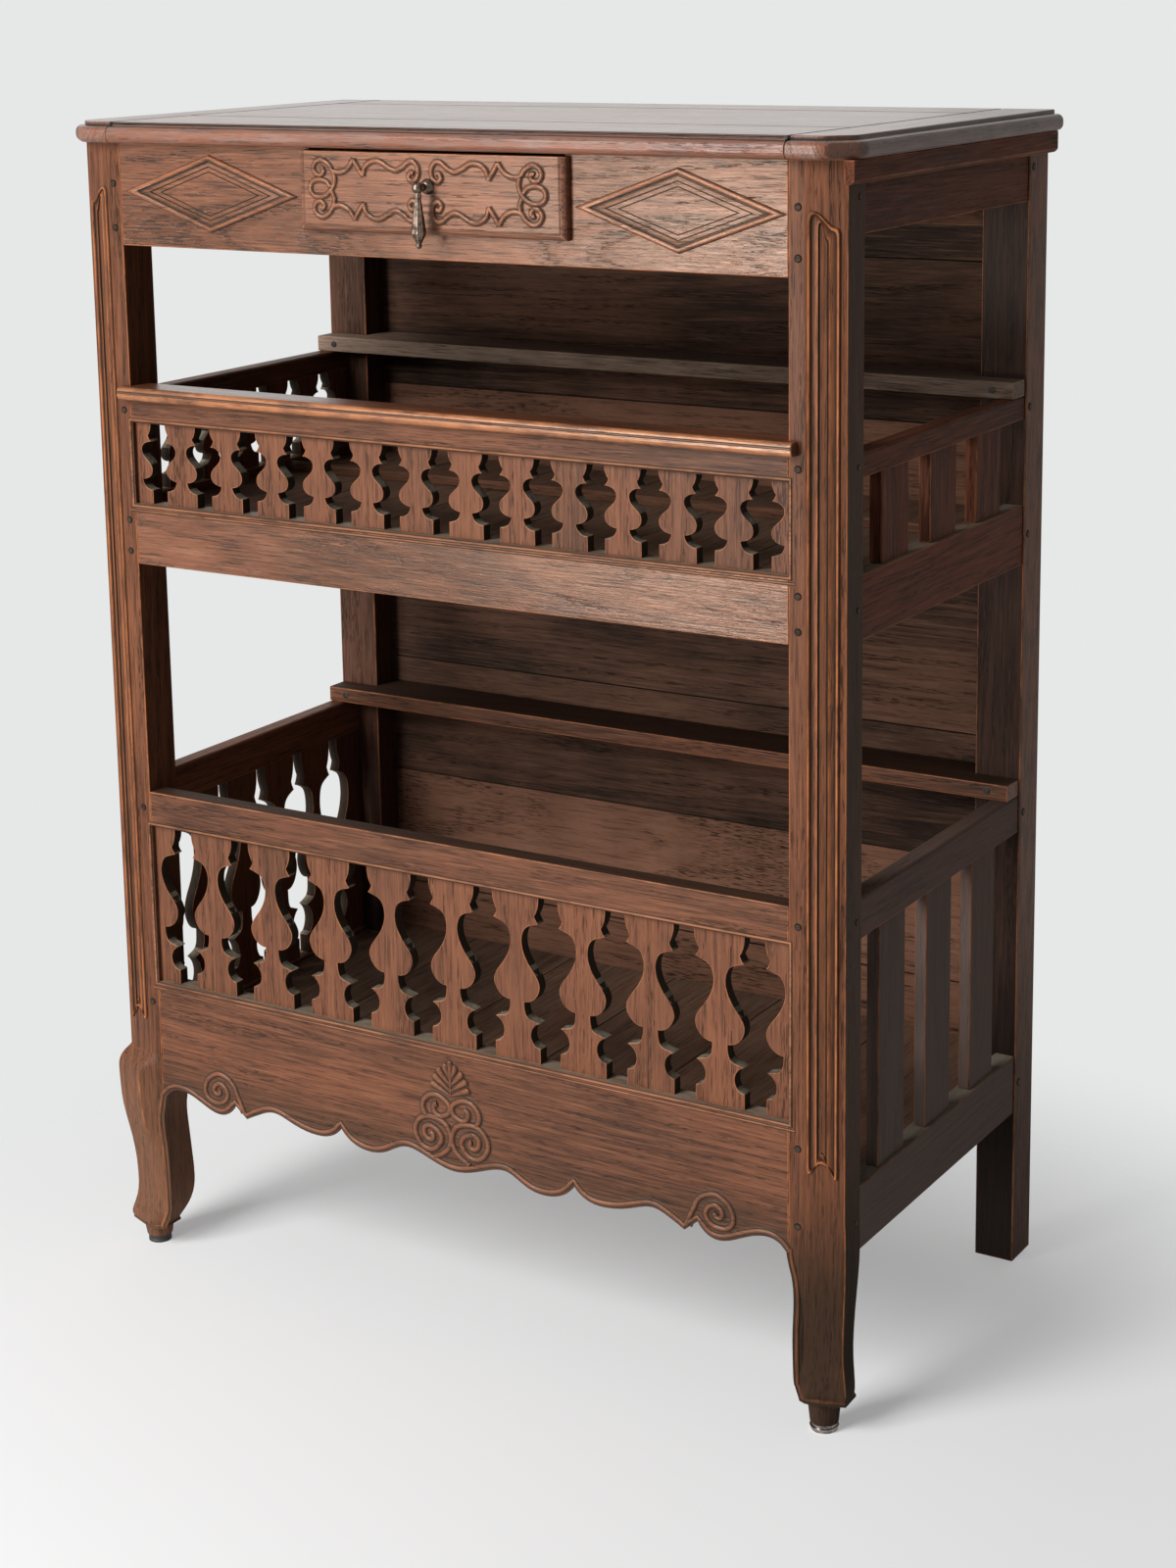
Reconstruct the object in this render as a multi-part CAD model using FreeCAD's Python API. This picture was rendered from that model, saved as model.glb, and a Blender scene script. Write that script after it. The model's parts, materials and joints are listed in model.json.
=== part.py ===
import FreeCAD, Part
import math
import os

os.makedirs("parts", exist_ok=True)
Vector = FreeCAD.Vector

# Overall sizes, in millimetres: width over the posts, depth from the rails' face to the back, height to the top
width = 1000.0
depth = 535.0
height = 1415.0

# Top: boards between end cleats, with a raised field inside a rounded edge and clipped front corners
top_thickness = 24.0
top_step = 5.0
top_step_inset = 7.0
top_edge_round = 8.0
top_overhang = 18.0
top_clip = 33.0
top_clip_round = 24.0
end_cleat_width = 75.0
top_front_board = 155.0
top_rear_board = 99.0
top_tongue_length = 10.0
top_tongue_thickness = 8.0
batten_thickness = 12.0
batten_height = 25.0
batten_chamfer = 4.0
right_batten_setback = 2.0
left_batten_setback = 45.0

# Posts and feet
post_width = 61.0
post_depth = 51.0
post_strip = 20.0
post_cant = 13.0
rear_post_width = 58.0
rear_post_depth = 54.0
rear_foot_relief = 8.0
rear_foot_relief_top = 195.0
rear_foot_relief_slope = 25.0
left_leg_top = 262.0
right_leg_top = 248.0
leg_relief = 0.3
knee_side_share = 0.7
knee_ridge_share = 0.6
knee_back_share = 0.3
left_pad_bottom = 26.0
right_pad_bottom = 36.0
foot_block_radius = 19.0
foot_block_foot_radius = 16.0
foot_setback_x = 27.0
foot_setback_y = 19.0
front_glide_height = 9.0
plug_radius = 14.5
plug_groove = 1.5
shoe_radius = 16.5
shoe_plate = 5.0
rear_glide_height = 6.0
rear_glide_radius = 15.0
glide_stud_radius = 3.0
glide_stud_length = 14.0

# The front legs from pad to top: share of the leg's height, knee out along the diagonal, inner edge and back drawn
# in. The right one has lost most of its knee.
left_leg = ((1.0, 0, leg_relief, leg_relief), (0.979, 4, leg_relief, leg_relief), (0.949, 9.5, leg_relief, leg_relief),
            (0.898, 13.8, leg_relief, leg_relief), (0.843, 14.2, leg_relief, leg_relief), (0.771, 13.6, 0.6, 0.4),
            (0.669, 12, 5.5, 0.5), (0.525, 6.5, 4.5, 0.5), (0.377, 1.5, 1, 0.5), (0.263, 0, -1.2, 0.5),
            (0.169, 0.5, -1, 2.5), (0.097, 4, 2, 9), (0.047, 7.5, 7, 16), (0.0, 4, 12, 21))
right_leg = ((1.0, 0, leg_relief, leg_relief), (0.95, 1, leg_relief, leg_relief), (0.88, 1.8, leg_relief, leg_relief),
             (0.8, 2, 0.6, 0.4), (0.68, 1.5, 6.5, 3), (0.557, 0, 9, 7), (0.37, -2, 8, 12), (0.2, -1, 7.5, 13),
             (0.085, 3, 10, 12), (0.0, 1.5, 16, 15))

# Rails and their joints
front_rail_thickness = 26.0
side_rail_thickness = 24.0
back_rail_thickness = 24.0
side_rail_inset = 2.0
tenon_length = 28.0
tenon_thickness = 8.0
tenon_shoulder = 8.0
joint_clearance = 0.2
peg_radius = 3.5
peg_length = 34.0
peg_proud = 0.6
peg_setback = 11.0
peg_clearance = 0.08
frieze_peg_rise = 20.0
frieze_peg_drop = 48.0
gallery_peg_rise = 15.0
gallery_peg_drop = 21.0
apron_peg_rise = 33.0
apron_peg_drop = 28.0
rail_edge_round = 4.0

# Levels of the front rails above the floor
frieze_height = 120.0
upper_top_rail_bottom = 1061.0
upper_top_rail_top = 1088.0
upper_bottom_rail_bottom = 888.0
upper_bottom_rail_top = 962.0
lower_top_rail_bottom = 560.0
lower_top_rail_top = 603.0
apron_top = 358.0
apron_bottom = 207.0

# Levels of the side rails above the floor
side_frieze_height = 78.0
side_upper_bottom_top = 959.0
side_lower_top_top = 606.0
side_apron_bottom = 202.0
side_apron_top = 276.0

# Cap of the upper gallery
cap_height = 16.0
cap_projection = 14.0
cap_depth = 30.0
cap_lap = 10.0
cap_round = 6.0

# Sawn balusters and plain slats
baluster_thickness = 14.0
baluster_setback = 6.0
tongue_height = 6.0
tongue_thickness = 8.0
tongue_margin = 5.0
upper_front_pitches = 13
upper_side_pitch = 66.0
upper_half_width = 22.8
lower_front_pitches = 10
lower_side_pitch = 79.0
lower_half_width = 30.5
slat_count = 3
slat_width = 67.0
slat_thickness = 15.0

# A sawn edge from its foot up, in lines, arcs and curves: distance inside the half width, share of the height
upper_profile = (("line", ((0, 0), (0, 0.175))),
                 ("arc", ((0, 0.175), (10.6, 0.212), (14.8, 0.297))),
                 ("curve", ((14.8, 0.297), (8.5, 0.311), (2, 0.353), (-0.2, 0.427), (2, 0.487), (7.2, 0.538),
                            (13, 0.602), (14.8, 0.66))),
                 ("curve", ((14.8, 0.66), (13.2, 0.71), (7.5, 0.75), (0, 0.762))),
                 ("arc", ((0, 0.762), (3, 0.795), (4.9, 0.838))),
                 ("arc", ((4.9, 0.838), (1.3, 0.9), (0, 1))))
lower_profile = (("line", ((0, 0), (0, 0.09))),
                 ("line", ((0, 0.09), (6.5, 0.1))),
                 ("arc", ((6.5, 0.1), (12.2, 0.15), (0.5, 0.24))),
                 ("curve", ((0.5, 0.24), (9, 0.25), (16.5, 0.265), (20.3, 0.305), (20.8, 0.354))),
                 ("curve", ((20.8, 0.354), (11, 0.366), (3, 0.405), (-0.3, 0.46), (6.5, 0.535), (12.5, 0.573),
                            (17.5, 0.612), (21.5, 0.66), (23, 0.705))),
                 ("curve", ((23, 0.705), (21.8, 0.755), (17.5, 0.793), (9, 0.815), (0, 0.829))),
                 ("arc", ((0, 0.829), (3, 0.848), (5.2, 0.873))),
                 ("arc", ((5.2, 0.873), (0.8, 0.92), (-0.3, 1))))

# The apron's lower edge from the middle outwards: share of the half span, rise above apron_bottom
scallop_middle = ((0, 0), (0.085, 9), (0.165, 16), (0.24, 1), (0.29, -1.5), (0.374, 21))
scallop_lobe = ((0.374, 21), (0.435, 3), (0.47, 2.5), (0.54, 9), (0.61, 17), (0.66, 10), (0.703, 0))
scallop_barb = ((0.703, 0), (0.743, 14))
scallop_end = ((0.743, 14), (0.806, -2.5), (0.875, 9), (0.945, 16), (1.0, 1))

# Floors, ledges and back
floor_thickness = 16.0
floor_board_count = 6
board_gap = 0.4
upper_floor_top = 945.0
lower_floor_top = 272.0
bearer_width = 24.0
bearer_height = 26.0
back_top_rail_height = 110.0
back_rail_height = 45.0
plate_stop_setback = 340.0
plate_stop_width = 14.0
plate_stop_height = 12.0
plate_stop_round = 4.0
ledge_thickness = 20.0
ledge_overhang = 33.0
ledge_end_inset = 2.0
nail_radius = 2.0
nail_head_radius = 4.0
nail_head_height = 1.2
nail_bite = 25.0
nail_setback = 29.0
back_board_thickness = 12.0
back_rebate_width = 28.0
back_bottom = 205.0
back_joints = (340.0, 500.0, 661.0, 850.0, 1040.0, 1237.0)

# Drawer and its runners
drawer_offset = 6.0
drawer_front_width = 350.0
drawer_front_height = 89.0
drawer_top_gap = 3.0
drawer_proud = 12.0
drawer_lip = 8.0
drawer_lip_round = 7.0
drawer_inner_thickness = 10.0
drawer_back_gap = 69.0
drawer_side_thickness = 11.0
drawer_side_height = 70.0
drawer_bottom_thickness = 7.0
drawer_bottom_rise = 6.0
drawer_groove = 4.0
drawer_side_gap = 1.0
drawer_running_gap = 0.3
runner_width = 22.0
runner_height = 26.0
guide_width = 14.0
guide_height = 32.0
runner_stub = 8.0
runner_stub_height = 14.0

# Drop pull: a slotted ball that hangs on the tongue of a stud, by a cross pin
pull_rise = 9.0
pull_standoff = 18.96
ball_radius = 6.5
drop_radius = 8.7
drop_facets = 8
finial_radius = 3.4
finial_drop = 62.5
rosette_radius = 8.8
rosette_height = 7.0
stud_radius = 3.0
tongue_plate = 4.0
tongue_plate_radius = 4.0
slot_clearance = 0.3
pin_radius = 1.5
pin_length = 11.0
pin_running_clearance = 0.05
pin_seat_clearance = 0.02
nut_width = 11.0
nut_height = 4.0

# The faceted drop under its ball: distance below the pin, radius
drop_stations = ((5.5, 3.8), (9.5, 4.2), (12.5, 3.6), (47.5, drop_radius), (50.5, drop_radius - 0.6), (60.5, 2.8))

# Places that follow from these sizes
far = width + depth + height
half_width = width / 2
front_reach = drawer_proud + pull_standoff + max(ball_radius, drop_radius * math.cos(math.pi / drop_facets))
front = (front_reach - depth) / 2
back = front + depth
frame_top = height - top_thickness
post_inner = half_width - post_width
post_back = front + post_depth
rear_inner = half_width - rear_post_width
rear_front = back - rear_post_depth
board_front = back - back_board_thickness
side_outer = half_width - side_rail_inset
side_inner = side_outer - side_rail_thickness
rail_back = front + front_rail_thickness
frieze_bottom = frame_top - frieze_height
side_frieze_bottom = frame_top - side_frieze_height
drawer_front_top = frame_top - drawer_top_gap
drawer_front_bottom = drawer_front_top - drawer_front_height
drawer_inner_half = drawer_front_width / 2 - drawer_lip
drawer_opening_half = drawer_inner_half + drawer_side_gap
runner_top = drawer_front_bottom + drawer_lip - drawer_running_gap
drawer_face = front - drawer_proud
drawer_inner_back = front + drawer_inner_thickness
foot_x = half_width - foot_setback_x
foot_y = front + foot_setback_y

pieces = {}
post_cuts = []
rear_post_cuts = []
pegs = []


def box(x0, x1, y0, y1, z0, z1):
    return Part.makeBox(x1 - x0, y1 - y0, z1 - z0, Vector(x0, y0, z0))


def grown_box(limits, clearance):
    x0, x1, y0, y1, z0, z1 = limits
    c = clearance
    return box(x0 - c, x1 + c, y0 - c, y1 + c, z0 - c, z1 + c)


def mirrored(shape):
    return shape.mirror(Vector(0, 0, 0), Vector(1, 0, 0))


def polygon(points):
    return Part.makePolygon(points + points[:1])


def prism(points, along):
    return Part.Face(polygon(points)).extrude(along)


def joined(first, *others):
    return first.fuse(list(others)).removeSplitter()


def cut_all(shape, tools):
    return shape.cut(tools) if tools else shape


def rounded(shape, radius, wanted):
    return shape.makeFillet(radius, [edge for edge in shape.Edges if wanted(edge)])


def near(value, target):
    return abs(value - target) < 0.01


def along_x(edge, y, z):
    return all(near(v.Y, y) and near(v.Z, z) for v in edge.Vertexes)


def curve(points):
    line = Part.BSplineCurve()
    line.interpolate(points)
    return line.toShape()


def arc(points):
    return Part.Arc(*points).toShape()


def keep(name, *solids):
    pieces[name] = list(solids)


# A peg through a joint: its solid for the group of pegs, and the hole that it fills
def add_peg(at, direction):
    start = at - direction * peg_proud
    length = peg_length + peg_proud
    pegs.append(Part.makeCylinder(peg_radius, length, start, direction))
    return Part.makeCylinder(peg_radius + peg_clearance, length + joint_clearance, start, direction)


# A rail between the left and right posts, with a pegged tenon at each end
def cross_rail(body, inner, y0, thickness, tenon_z, peg_levels, socket_list):
    y_mid = y0 + thickness / 2
    tenon = (inner, inner + tenon_length, y_mid - tenon_thickness / 2, y_mid + tenon_thickness / 2, *tenon_z)
    socket_list.append(grown_box(tenon, joint_clearance))
    holes = []
    for level in peg_levels:
        hole = add_peg(Vector(inner + peg_setback, front, level), Vector(0, 1, 0))
        pegs.append(mirrored(pegs[-1]))
        socket_list.append(hole)
        holes += [hole, mirrored(hole)]
    tenon_solid = box(*tenon)
    return cut_all(joined(body, tenon_solid, mirrored(tenon_solid)), holes)


# A right-hand rail from the front post to the rear post, with a pegged tenon at each end
def side_rail(z0, z1, round_top=0.0):
    body = box(side_inner, side_outer, post_back, rear_front, z0, z1)
    if round_top:
        body = rounded(body, round_top, lambda e: all(near(v.Z, z1) for v in e.Vertexes)
                       and near(e.Vertexes[0].X, e.Vertexes[-1].X))
    x_mid = (side_inner + side_outer) / 2
    across = (x_mid - tenon_thickness / 2, x_mid + tenon_thickness / 2)
    upright = (z0 + tenon_shoulder, z1 - tenon_shoulder)
    fore = (*across, post_back - tenon_length, post_back, *upright)
    aft = (*across, rear_front, rear_front + tenon_length, *upright)
    post_cuts.append(grown_box(fore, joint_clearance))
    rear_post_cuts.append(grown_box(aft, joint_clearance))
    level = (z0 + z1) / 2
    inward = Vector(-1, 0, 0)
    fore_hole = add_peg(Vector(half_width, post_back - peg_setback, level), inward)
    pegs.append(mirrored(pegs[-1]))
    aft_hole = add_peg(Vector(half_width, rear_front + peg_setback, level), inward)
    pegs.append(mirrored(pegs[-1]))
    post_cuts.append(fore_hole)
    rear_post_cuts.append(aft_hole)
    return joined(body, box(*fore), box(*aft)).cut([fore_hole, aft_hole])


# The right-hand edge of a sawn baluster, from bottom to top
def sawn_edge(profile, half, tall):
    makers = {"line": lambda points: Part.makeLine(*points), "arc": arc, "curve": curve}
    return [makers[kind]([Vector(half - inside, 0, share * tall) for inside, share in stretch])
            for kind, stretch in profile]


# One baluster about x = 0 with its front at y = 0: whole, or a half that reaches a post on one side
def baluster(profile, half, tall, reach=None):
    right = sawn_edge(profile, half, tall)
    foot = right[0].Vertexes[0].Point
    head = right[-1].Vertexes[-1].Point
    if reach is None:
        ends = [Part.makeLine(foot, Vector(-foot.x, 0, 0)), Part.makeLine(head, Vector(-head.x, 0, tall))]
        edges = right + [mirrored(edge) for edge in right] + ends
        tongue_start = tongue_margin - half
    else:
        low = Vector(-reach, 0, 0)
        high = Vector(-reach, 0, tall)
        edges = right + [Part.makeLine(foot, low), Part.makeLine(low, high), Part.makeLine(high, head)]
        tongue_start = tongue_margin - reach
    blank = Part.Face(Part.Wire(Part.__sortEdges__(edges))).extrude(Vector(0, baluster_thickness, 0))
    tongue_y = (baluster_thickness - tongue_thickness) / 2
    across = (tongue_start, half - tongue_margin, tongue_y, tongue_y + tongue_thickness)
    lower_tongue = (*across, -tongue_height, 0)
    upper_tongue = (*across, tall, tall + tongue_height)
    socket = grown_box((*across, -tongue_height, tall + tongue_height), joint_clearance)
    return joined(blank, box(*lower_tongue), box(*upper_tongue)), socket


# The same pair moved to its place: turned to face the left side, or left as it is on the front
def placed(pair, to, turn=0.0, flip=False):
    out = []
    for shape in pair:
        copy = mirrored(shape) if flip else shape.copy()
        copy.rotate(Vector(0, 0, 0), Vector(0, 0, 1), turn)
        copy.translate(to)
        out.append(copy)
    return out


# A row of balusters across the front, with a half one against each post
def front_row(profile, half, pitches, z0, z1):
    pitch = 2 * post_inner / pitches
    whole = baluster(profile, half, z1 - z0)
    split = baluster(profile, half, z1 - z0, 0.0)
    y = front + baluster_setback
    row = [placed(split, Vector(-post_inner, y, z0)), placed(split, Vector(post_inner, y, z0), flip=True)]
    row += [placed(whole, Vector(pitch * n - post_inner, y, z0)) for n in range(1, pitches)]
    return [pair[0] for pair in row], [pair[1] for pair in row]


# A row down the left side: its gaps are centred, and the end pieces fill up to the posts
def left_row(profile, half, pitch, z0, z1):
    gaps = int((rear_front - post_back) // pitch)
    middle = (post_back + rear_front) / 2
    first = middle - pitch * gaps / 2
    last = first + pitch * gaps
    whole = baluster(profile, half, z1 - z0)
    split = baluster(profile, half, z1 - z0, first - post_back)
    x = -side_outer + baluster_setback + baluster_thickness
    row = [placed(split, Vector(x, first, z0), 90), placed(split, Vector(x, last, z0), 90, flip=True)]
    row += [placed(whole, Vector(x, first + pitch * n, z0), 90) for n in range(1, gaps)]
    return [pair[0] for pair in row], [pair[1] for pair in row]


# Plain slats down the right side, tongued into the rails
def right_slats(z0, z1):
    gap = (rear_front - post_back - slat_count * slat_width) / (slat_count + 1)
    x0 = (side_inner + side_outer - slat_thickness) / 2
    x_mid = x0 + slat_thickness / 2
    slats = []
    sockets = []
    for n in range(slat_count):
        y0 = post_back + gap + n * (slat_width + gap)
        tongue = (x_mid - tongue_thickness / 2, x_mid + tongue_thickness / 2, y0 + tongue_margin,
                  y0 + slat_width - tongue_margin, z0 - tongue_height, z1 + tongue_height)
        slats.append(joined(box(x0, x0 + slat_thickness, y0, y0 + slat_width, z0, z1), box(*tongue)))
        sockets.append(grown_box(tongue, joint_clearance))
    return slats, sockets


# Floor boards that run front to back, the outer ones notched round the posts
def floor_boards(top):
    notches = [box(post_inner - joint_clearance, half_width, front, post_back + joint_clearance, 0, height),
               box(rear_inner - joint_clearance, half_width, rear_front - joint_clearance, back, 0, height)]
    notches += [mirrored(notch) for notch in notches]
    span = 2 * (side_inner - joint_clearance)
    board = (span - board_gap * (floor_board_count - 1)) / floor_board_count
    boards = []
    for n in range(floor_board_count):
        x0 = -span / 2 + n * (board + board_gap)
        plank = box(x0, x0 + board, rail_back + joint_clearance, board_front - joint_clearance,
                    top - floor_thickness, top)
        boards.append(plank.cut(notches))
    return boards


# Narrow ledge on the side rails, notched round the rear posts and nailed to them from the front
def ledge(bottom):
    end = half_width - ledge_end_inset
    ledge_front = rear_front - ledge_overhang
    plank = box(-end, end, ledge_front, board_front, bottom, bottom + ledge_thickness)
    notch = box(rear_inner - joint_clearance, half_width, rear_front, back, bottom, bottom + ledge_thickness)
    at = Vector(half_width - nail_setback, ledge_front, bottom + ledge_thickness / 2)
    inward = Vector(0, 1, 0)
    length = ledge_overhang + nail_bite
    hole = Part.makeCylinder(nail_radius + peg_clearance, length + joint_clearance, at, inward)
    rear_post_cuts.append(hole)
    shank = Part.makeCylinder(nail_radius, length, at, inward)
    head = Part.makeCylinder(nail_head_radius, nail_head_height, at - inward * nail_head_height, inward)
    nail = joined(shank, head)
    return plank.cut([notch, mirrored(notch), hole, mirrored(hole)]), [nail, mirrored(nail)]


# The front post's section: a strip at its inner edge, then a canted face, both pushed out by a knee
def post_section(z, knee=0.0, inner=0.0, rear=0.0):
    ridge = post_inner + post_strip
    points = [Vector(half_width + knee, front + post_cant - knee_side_share * knee, z),
              Vector(ridge + knee_ridge_share * knee, front - knee, z),
              Vector(post_inner + inner, front, z),
              Vector(post_inner + inner, post_back - rear, z),
              Vector(half_width + knee_back_share * knee, post_back - rear, z)]
    return polygon(points)


def front_post(stations, leg_top, pad_bottom):
    upper = Part.Face(post_section(leg_top)).extrude(Vector(0, 0, frame_top - leg_top))
    leg_height = leg_top - pad_bottom
    leg = Part.makeLoft([post_section(pad_bottom + share * leg_height, *pushes)
                         for share, *pushes in stations], True)
    block_bottom = front_glide_height
    block = Part.makeCone(foot_block_foot_radius, foot_block_radius, pad_bottom - block_bottom,
                          Vector(foot_x, foot_y, block_bottom))
    socket = Part.makeCylinder(glide_stud_radius + joint_clearance, glide_stud_length + joint_clearance,
                               Vector(foot_x, foot_y, block_bottom))
    return joined(upper, leg, block).cut(post_cuts + [socket])


def rear_post():
    body = box(rear_inner, half_width, rear_front, back, rear_glide_height, frame_top)
    rebate = box(rear_inner, rear_inner + back_rebate_width, board_front, back, back_bottom, frame_top)
    slope_start = rear_foot_relief_top - rear_foot_relief_slope
    relief = prism([Vector(rear_inner, rear_front, 0), Vector(rear_inner + rear_foot_relief, rear_front, 0),
                    Vector(rear_inner + rear_foot_relief, rear_front, slope_start),
                    Vector(rear_inner, rear_front, rear_foot_relief_top)], Vector(0, rear_post_depth, 0))
    socket = Part.makeCylinder(glide_stud_radius + joint_clearance, glide_stud_length + joint_clearance,
                               Vector(*rear_glide_place, rear_glide_height))
    return body.cut([rebate, relief, socket] + rear_post_cuts)


rear_glide_place = ((rear_inner + rear_foot_relief + half_width) / 2, (rear_front + back) / 2)

# Frieze rail, notched from above for the drawer, with sockets for the runners' stubs
runner_inner = drawer_inner_half - runner_width
runner_outer = drawer_opening_half + guide_width
runner_middle = runner_top - runner_height / 2
stub_z = (runner_middle - runner_stub_height / 2, runner_middle + runner_stub_height / 2)


def runner_stub_limits(side, y0, y1):
    edges = sorted((drawer_offset + side * runner_inner, drawer_offset + side * drawer_inner_half))
    return (*edges, y0, y1, *stub_z)


back_rail_front = board_front - back_rail_thickness
fore_stubs = [runner_stub_limits(side, rail_back - runner_stub, rail_back) for side in (-1, 1)]
aft_stubs = [runner_stub_limits(side, back_rail_front, back_rail_front + runner_stub) for side in (-1, 1)]
frieze = box(-post_inner, post_inner, front, rail_back, frieze_bottom, frame_top)
drawer_notch = box(drawer_offset - drawer_opening_half, drawer_offset + drawer_opening_half, front, rail_back,
                   runner_top, frame_top)
frieze = frieze.cut([drawer_notch] + [grown_box(stub, joint_clearance) for stub in fore_stubs])
frieze_pegs = (frieze_bottom + frieze_peg_rise, frame_top - frieze_peg_drop)
keep("frieze_rail", cross_rail(frieze, post_inner, front, front_rail_thickness,
                               (frieze_bottom + tenon_shoulder, frame_top - 2 * tenon_shoulder), frieze_pegs,
                               post_cuts))

# Upper gallery: balusters and slats first, then the rails with their sockets
upper_front, upper_front_sockets = front_row(upper_profile, upper_half_width, upper_front_pitches,
                                             upper_bottom_rail_top, upper_top_rail_bottom)
keep("upper_front_balusters", *upper_front)
upper_top = box(-post_inner, post_inner, front, rail_back, upper_top_rail_bottom, upper_top_rail_top)
upper_top = rounded(upper_top, rail_edge_round, lambda e: along_x(e, front, upper_top_rail_bottom))
upper_top = cross_rail(upper_top.cut(upper_front_sockets), post_inner, front, front_rail_thickness,
                       (upper_top_rail_bottom + tenon_shoulder, upper_top_rail_top - tenon_shoulder / 2),
                       [(upper_top_rail_bottom + upper_top_rail_top) / 2], post_cuts)
keep("upper_front_top_rail", upper_top)
upper_bottom = box(-post_inner, post_inner, front, rail_back, upper_bottom_rail_bottom, upper_bottom_rail_top)
upper_bottom = rounded(upper_bottom, rail_edge_round, lambda e: along_x(e, front, upper_bottom_rail_top))
upper_bottom = cross_rail(upper_bottom.cut(upper_front_sockets), post_inner, front, front_rail_thickness,
                          (upper_bottom_rail_bottom + tenon_shoulder, upper_bottom_rail_top - tenon_shoulder),
                          (upper_bottom_rail_bottom + gallery_peg_rise, upper_bottom_rail_top - gallery_peg_drop),
                          post_cuts)
keep("upper_front_bottom_rail", upper_bottom)

cap_top = upper_top_rail_top + cap_height
cap_end = post_inner + cap_lap
cap_nose = box(-cap_end, cap_end, front - cap_projection, front, upper_top_rail_top, cap_top)
cap_body = box(-post_inner, post_inner, front, front + cap_depth, upper_top_rail_top, cap_top)
cap = joined(cap_nose, cap_body)
cap = rounded(cap, cap_round, lambda e: along_x(e, front - cap_projection, upper_top_rail_top)
              or along_x(e, front - cap_projection, cap_top))
keep("upper_front_cap", cap)

# Side rails of both galleries: a right-hand rail of each kind serves both sides
upper_left, upper_left_sockets = left_row(upper_profile, upper_half_width, upper_side_pitch,
                                          side_upper_bottom_top, upper_top_rail_bottom)
lower_left, lower_left_sockets = left_row(lower_profile, lower_half_width, lower_side_pitch,
                                          side_apron_top, lower_top_rail_bottom)
upper_right, upper_right_sockets = right_slats(side_upper_bottom_top, upper_top_rail_bottom)
lower_right, lower_right_sockets = right_slats(side_apron_top, lower_top_rail_bottom)
keep("upper_left_balusters", *upper_left)
keep("lower_left_balusters", *lower_left)
keep("upper_right_slats", *upper_right)
keep("lower_right_slats", *lower_right)

side_frieze = side_rail(side_frieze_bottom, frame_top)
keep("side_top_rail_right", side_frieze)
keep("side_top_rail_left", mirrored(side_frieze))
side_rails = (("upper", "top", side_rail(upper_top_rail_bottom, upper_top_rail_top, rail_edge_round)),
              ("upper", "bottom", side_rail(upper_bottom_rail_bottom, side_upper_bottom_top)),
              ("lower", "top", side_rail(lower_top_rail_bottom, side_lower_top_top, rail_edge_round)),
              ("lower", "bottom", side_rail(side_apron_bottom, side_apron_top)))
right_sockets = {"upper": upper_right_sockets, "lower": lower_right_sockets}
left_sockets = {"upper": upper_left_sockets, "lower": lower_left_sockets}
for tier, level, rail in side_rails:
    keep(f"{tier}_right_{level}_rail", rail.cut(right_sockets[tier]))
    keep(f"{tier}_left_{level}_rail", mirrored(rail).cut(left_sockets[tier]))

# Lower gallery front: plain top rail, tall balusters and the scalloped apron
lower_front, lower_front_sockets = front_row(lower_profile, lower_half_width, lower_front_pitches, apron_top,
                                             lower_top_rail_bottom)
keep("lower_front_balusters", *lower_front)
lower_top = box(-post_inner, post_inner, front, rail_back, lower_top_rail_bottom, lower_top_rail_top)
lower_top = cross_rail(lower_top.cut(lower_front_sockets), post_inner, front, front_rail_thickness,
                       (lower_top_rail_bottom + tenon_shoulder, lower_top_rail_top - tenon_shoulder),
                       [(lower_top_rail_bottom + lower_top_rail_top) / 2], post_cuts)
keep("lower_front_top_rail", lower_top)


def scallop_points(stretch):
    return [Vector(share * post_inner, front, apron_bottom + rise) for share, rise in stretch]


def apron_blank():
    half_middle = scallop_points(scallop_middle)
    middle = [Vector(-p.x, p.y, p.z) for p in reversed(half_middle[1:])] + half_middle
    right = [curve(scallop_points(scallop_lobe)), Part.makeLine(*scallop_points(scallop_barb)),
             curve(scallop_points(scallop_end))]
    end = scallop_points(scallop_end)[-1]
    corner = Vector(post_inner, front, apron_top)
    right.append(Part.makeLine(end, corner))
    top_line = Part.makeLine(corner, Vector(-post_inner, front, apron_top))
    edges = [curve(middle), top_line] + right + [mirrored(edge) for edge in right]
    return Part.Face(Part.Wire(Part.__sortEdges__(edges))).extrude(Vector(0, front_rail_thickness, 0))


apron_tenon = (apron_bottom + 3 * tenon_shoulder, apron_top - tenon_shoulder)
apron = cross_rail(apron_blank().cut(lower_front_sockets), post_inner, front, front_rail_thickness, apron_tenon,
                   (apron_bottom + apron_peg_rise, apron_top - apron_peg_drop), post_cuts)
keep("apron", apron)


# Back rails between the rear posts, without pegs, because the back boards cover them
def back_rail(z0, z1):
    body = box(-rear_inner, rear_inner, back_rail_front, board_front, z0, z1)
    return cross_rail(body, rear_inner, back_rail_front, back_rail_thickness,
                      (z0 + tenon_shoulder, z1 - tenon_shoulder), (), rear_post_cuts)


back_top = back_rail(frame_top - back_top_rail_height, frame_top)
keep("back_top_rail", back_top.cut([grown_box(stub, joint_clearance) for stub in aft_stubs]))
for tier, floor_top in (("upper", upper_floor_top), ("lower", lower_floor_top)):
    under = floor_top - floor_thickness
    keep(f"{tier}_floor_boards", *floor_boards(floor_top))
    keep(f"{tier}_back_rail", back_rail(under - back_rail_height, under))
    keep(f"{tier}_floor_bearer", box(-post_inner, post_inner, rail_back, rail_back + bearer_width,
                                     under - bearer_height, under))

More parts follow.
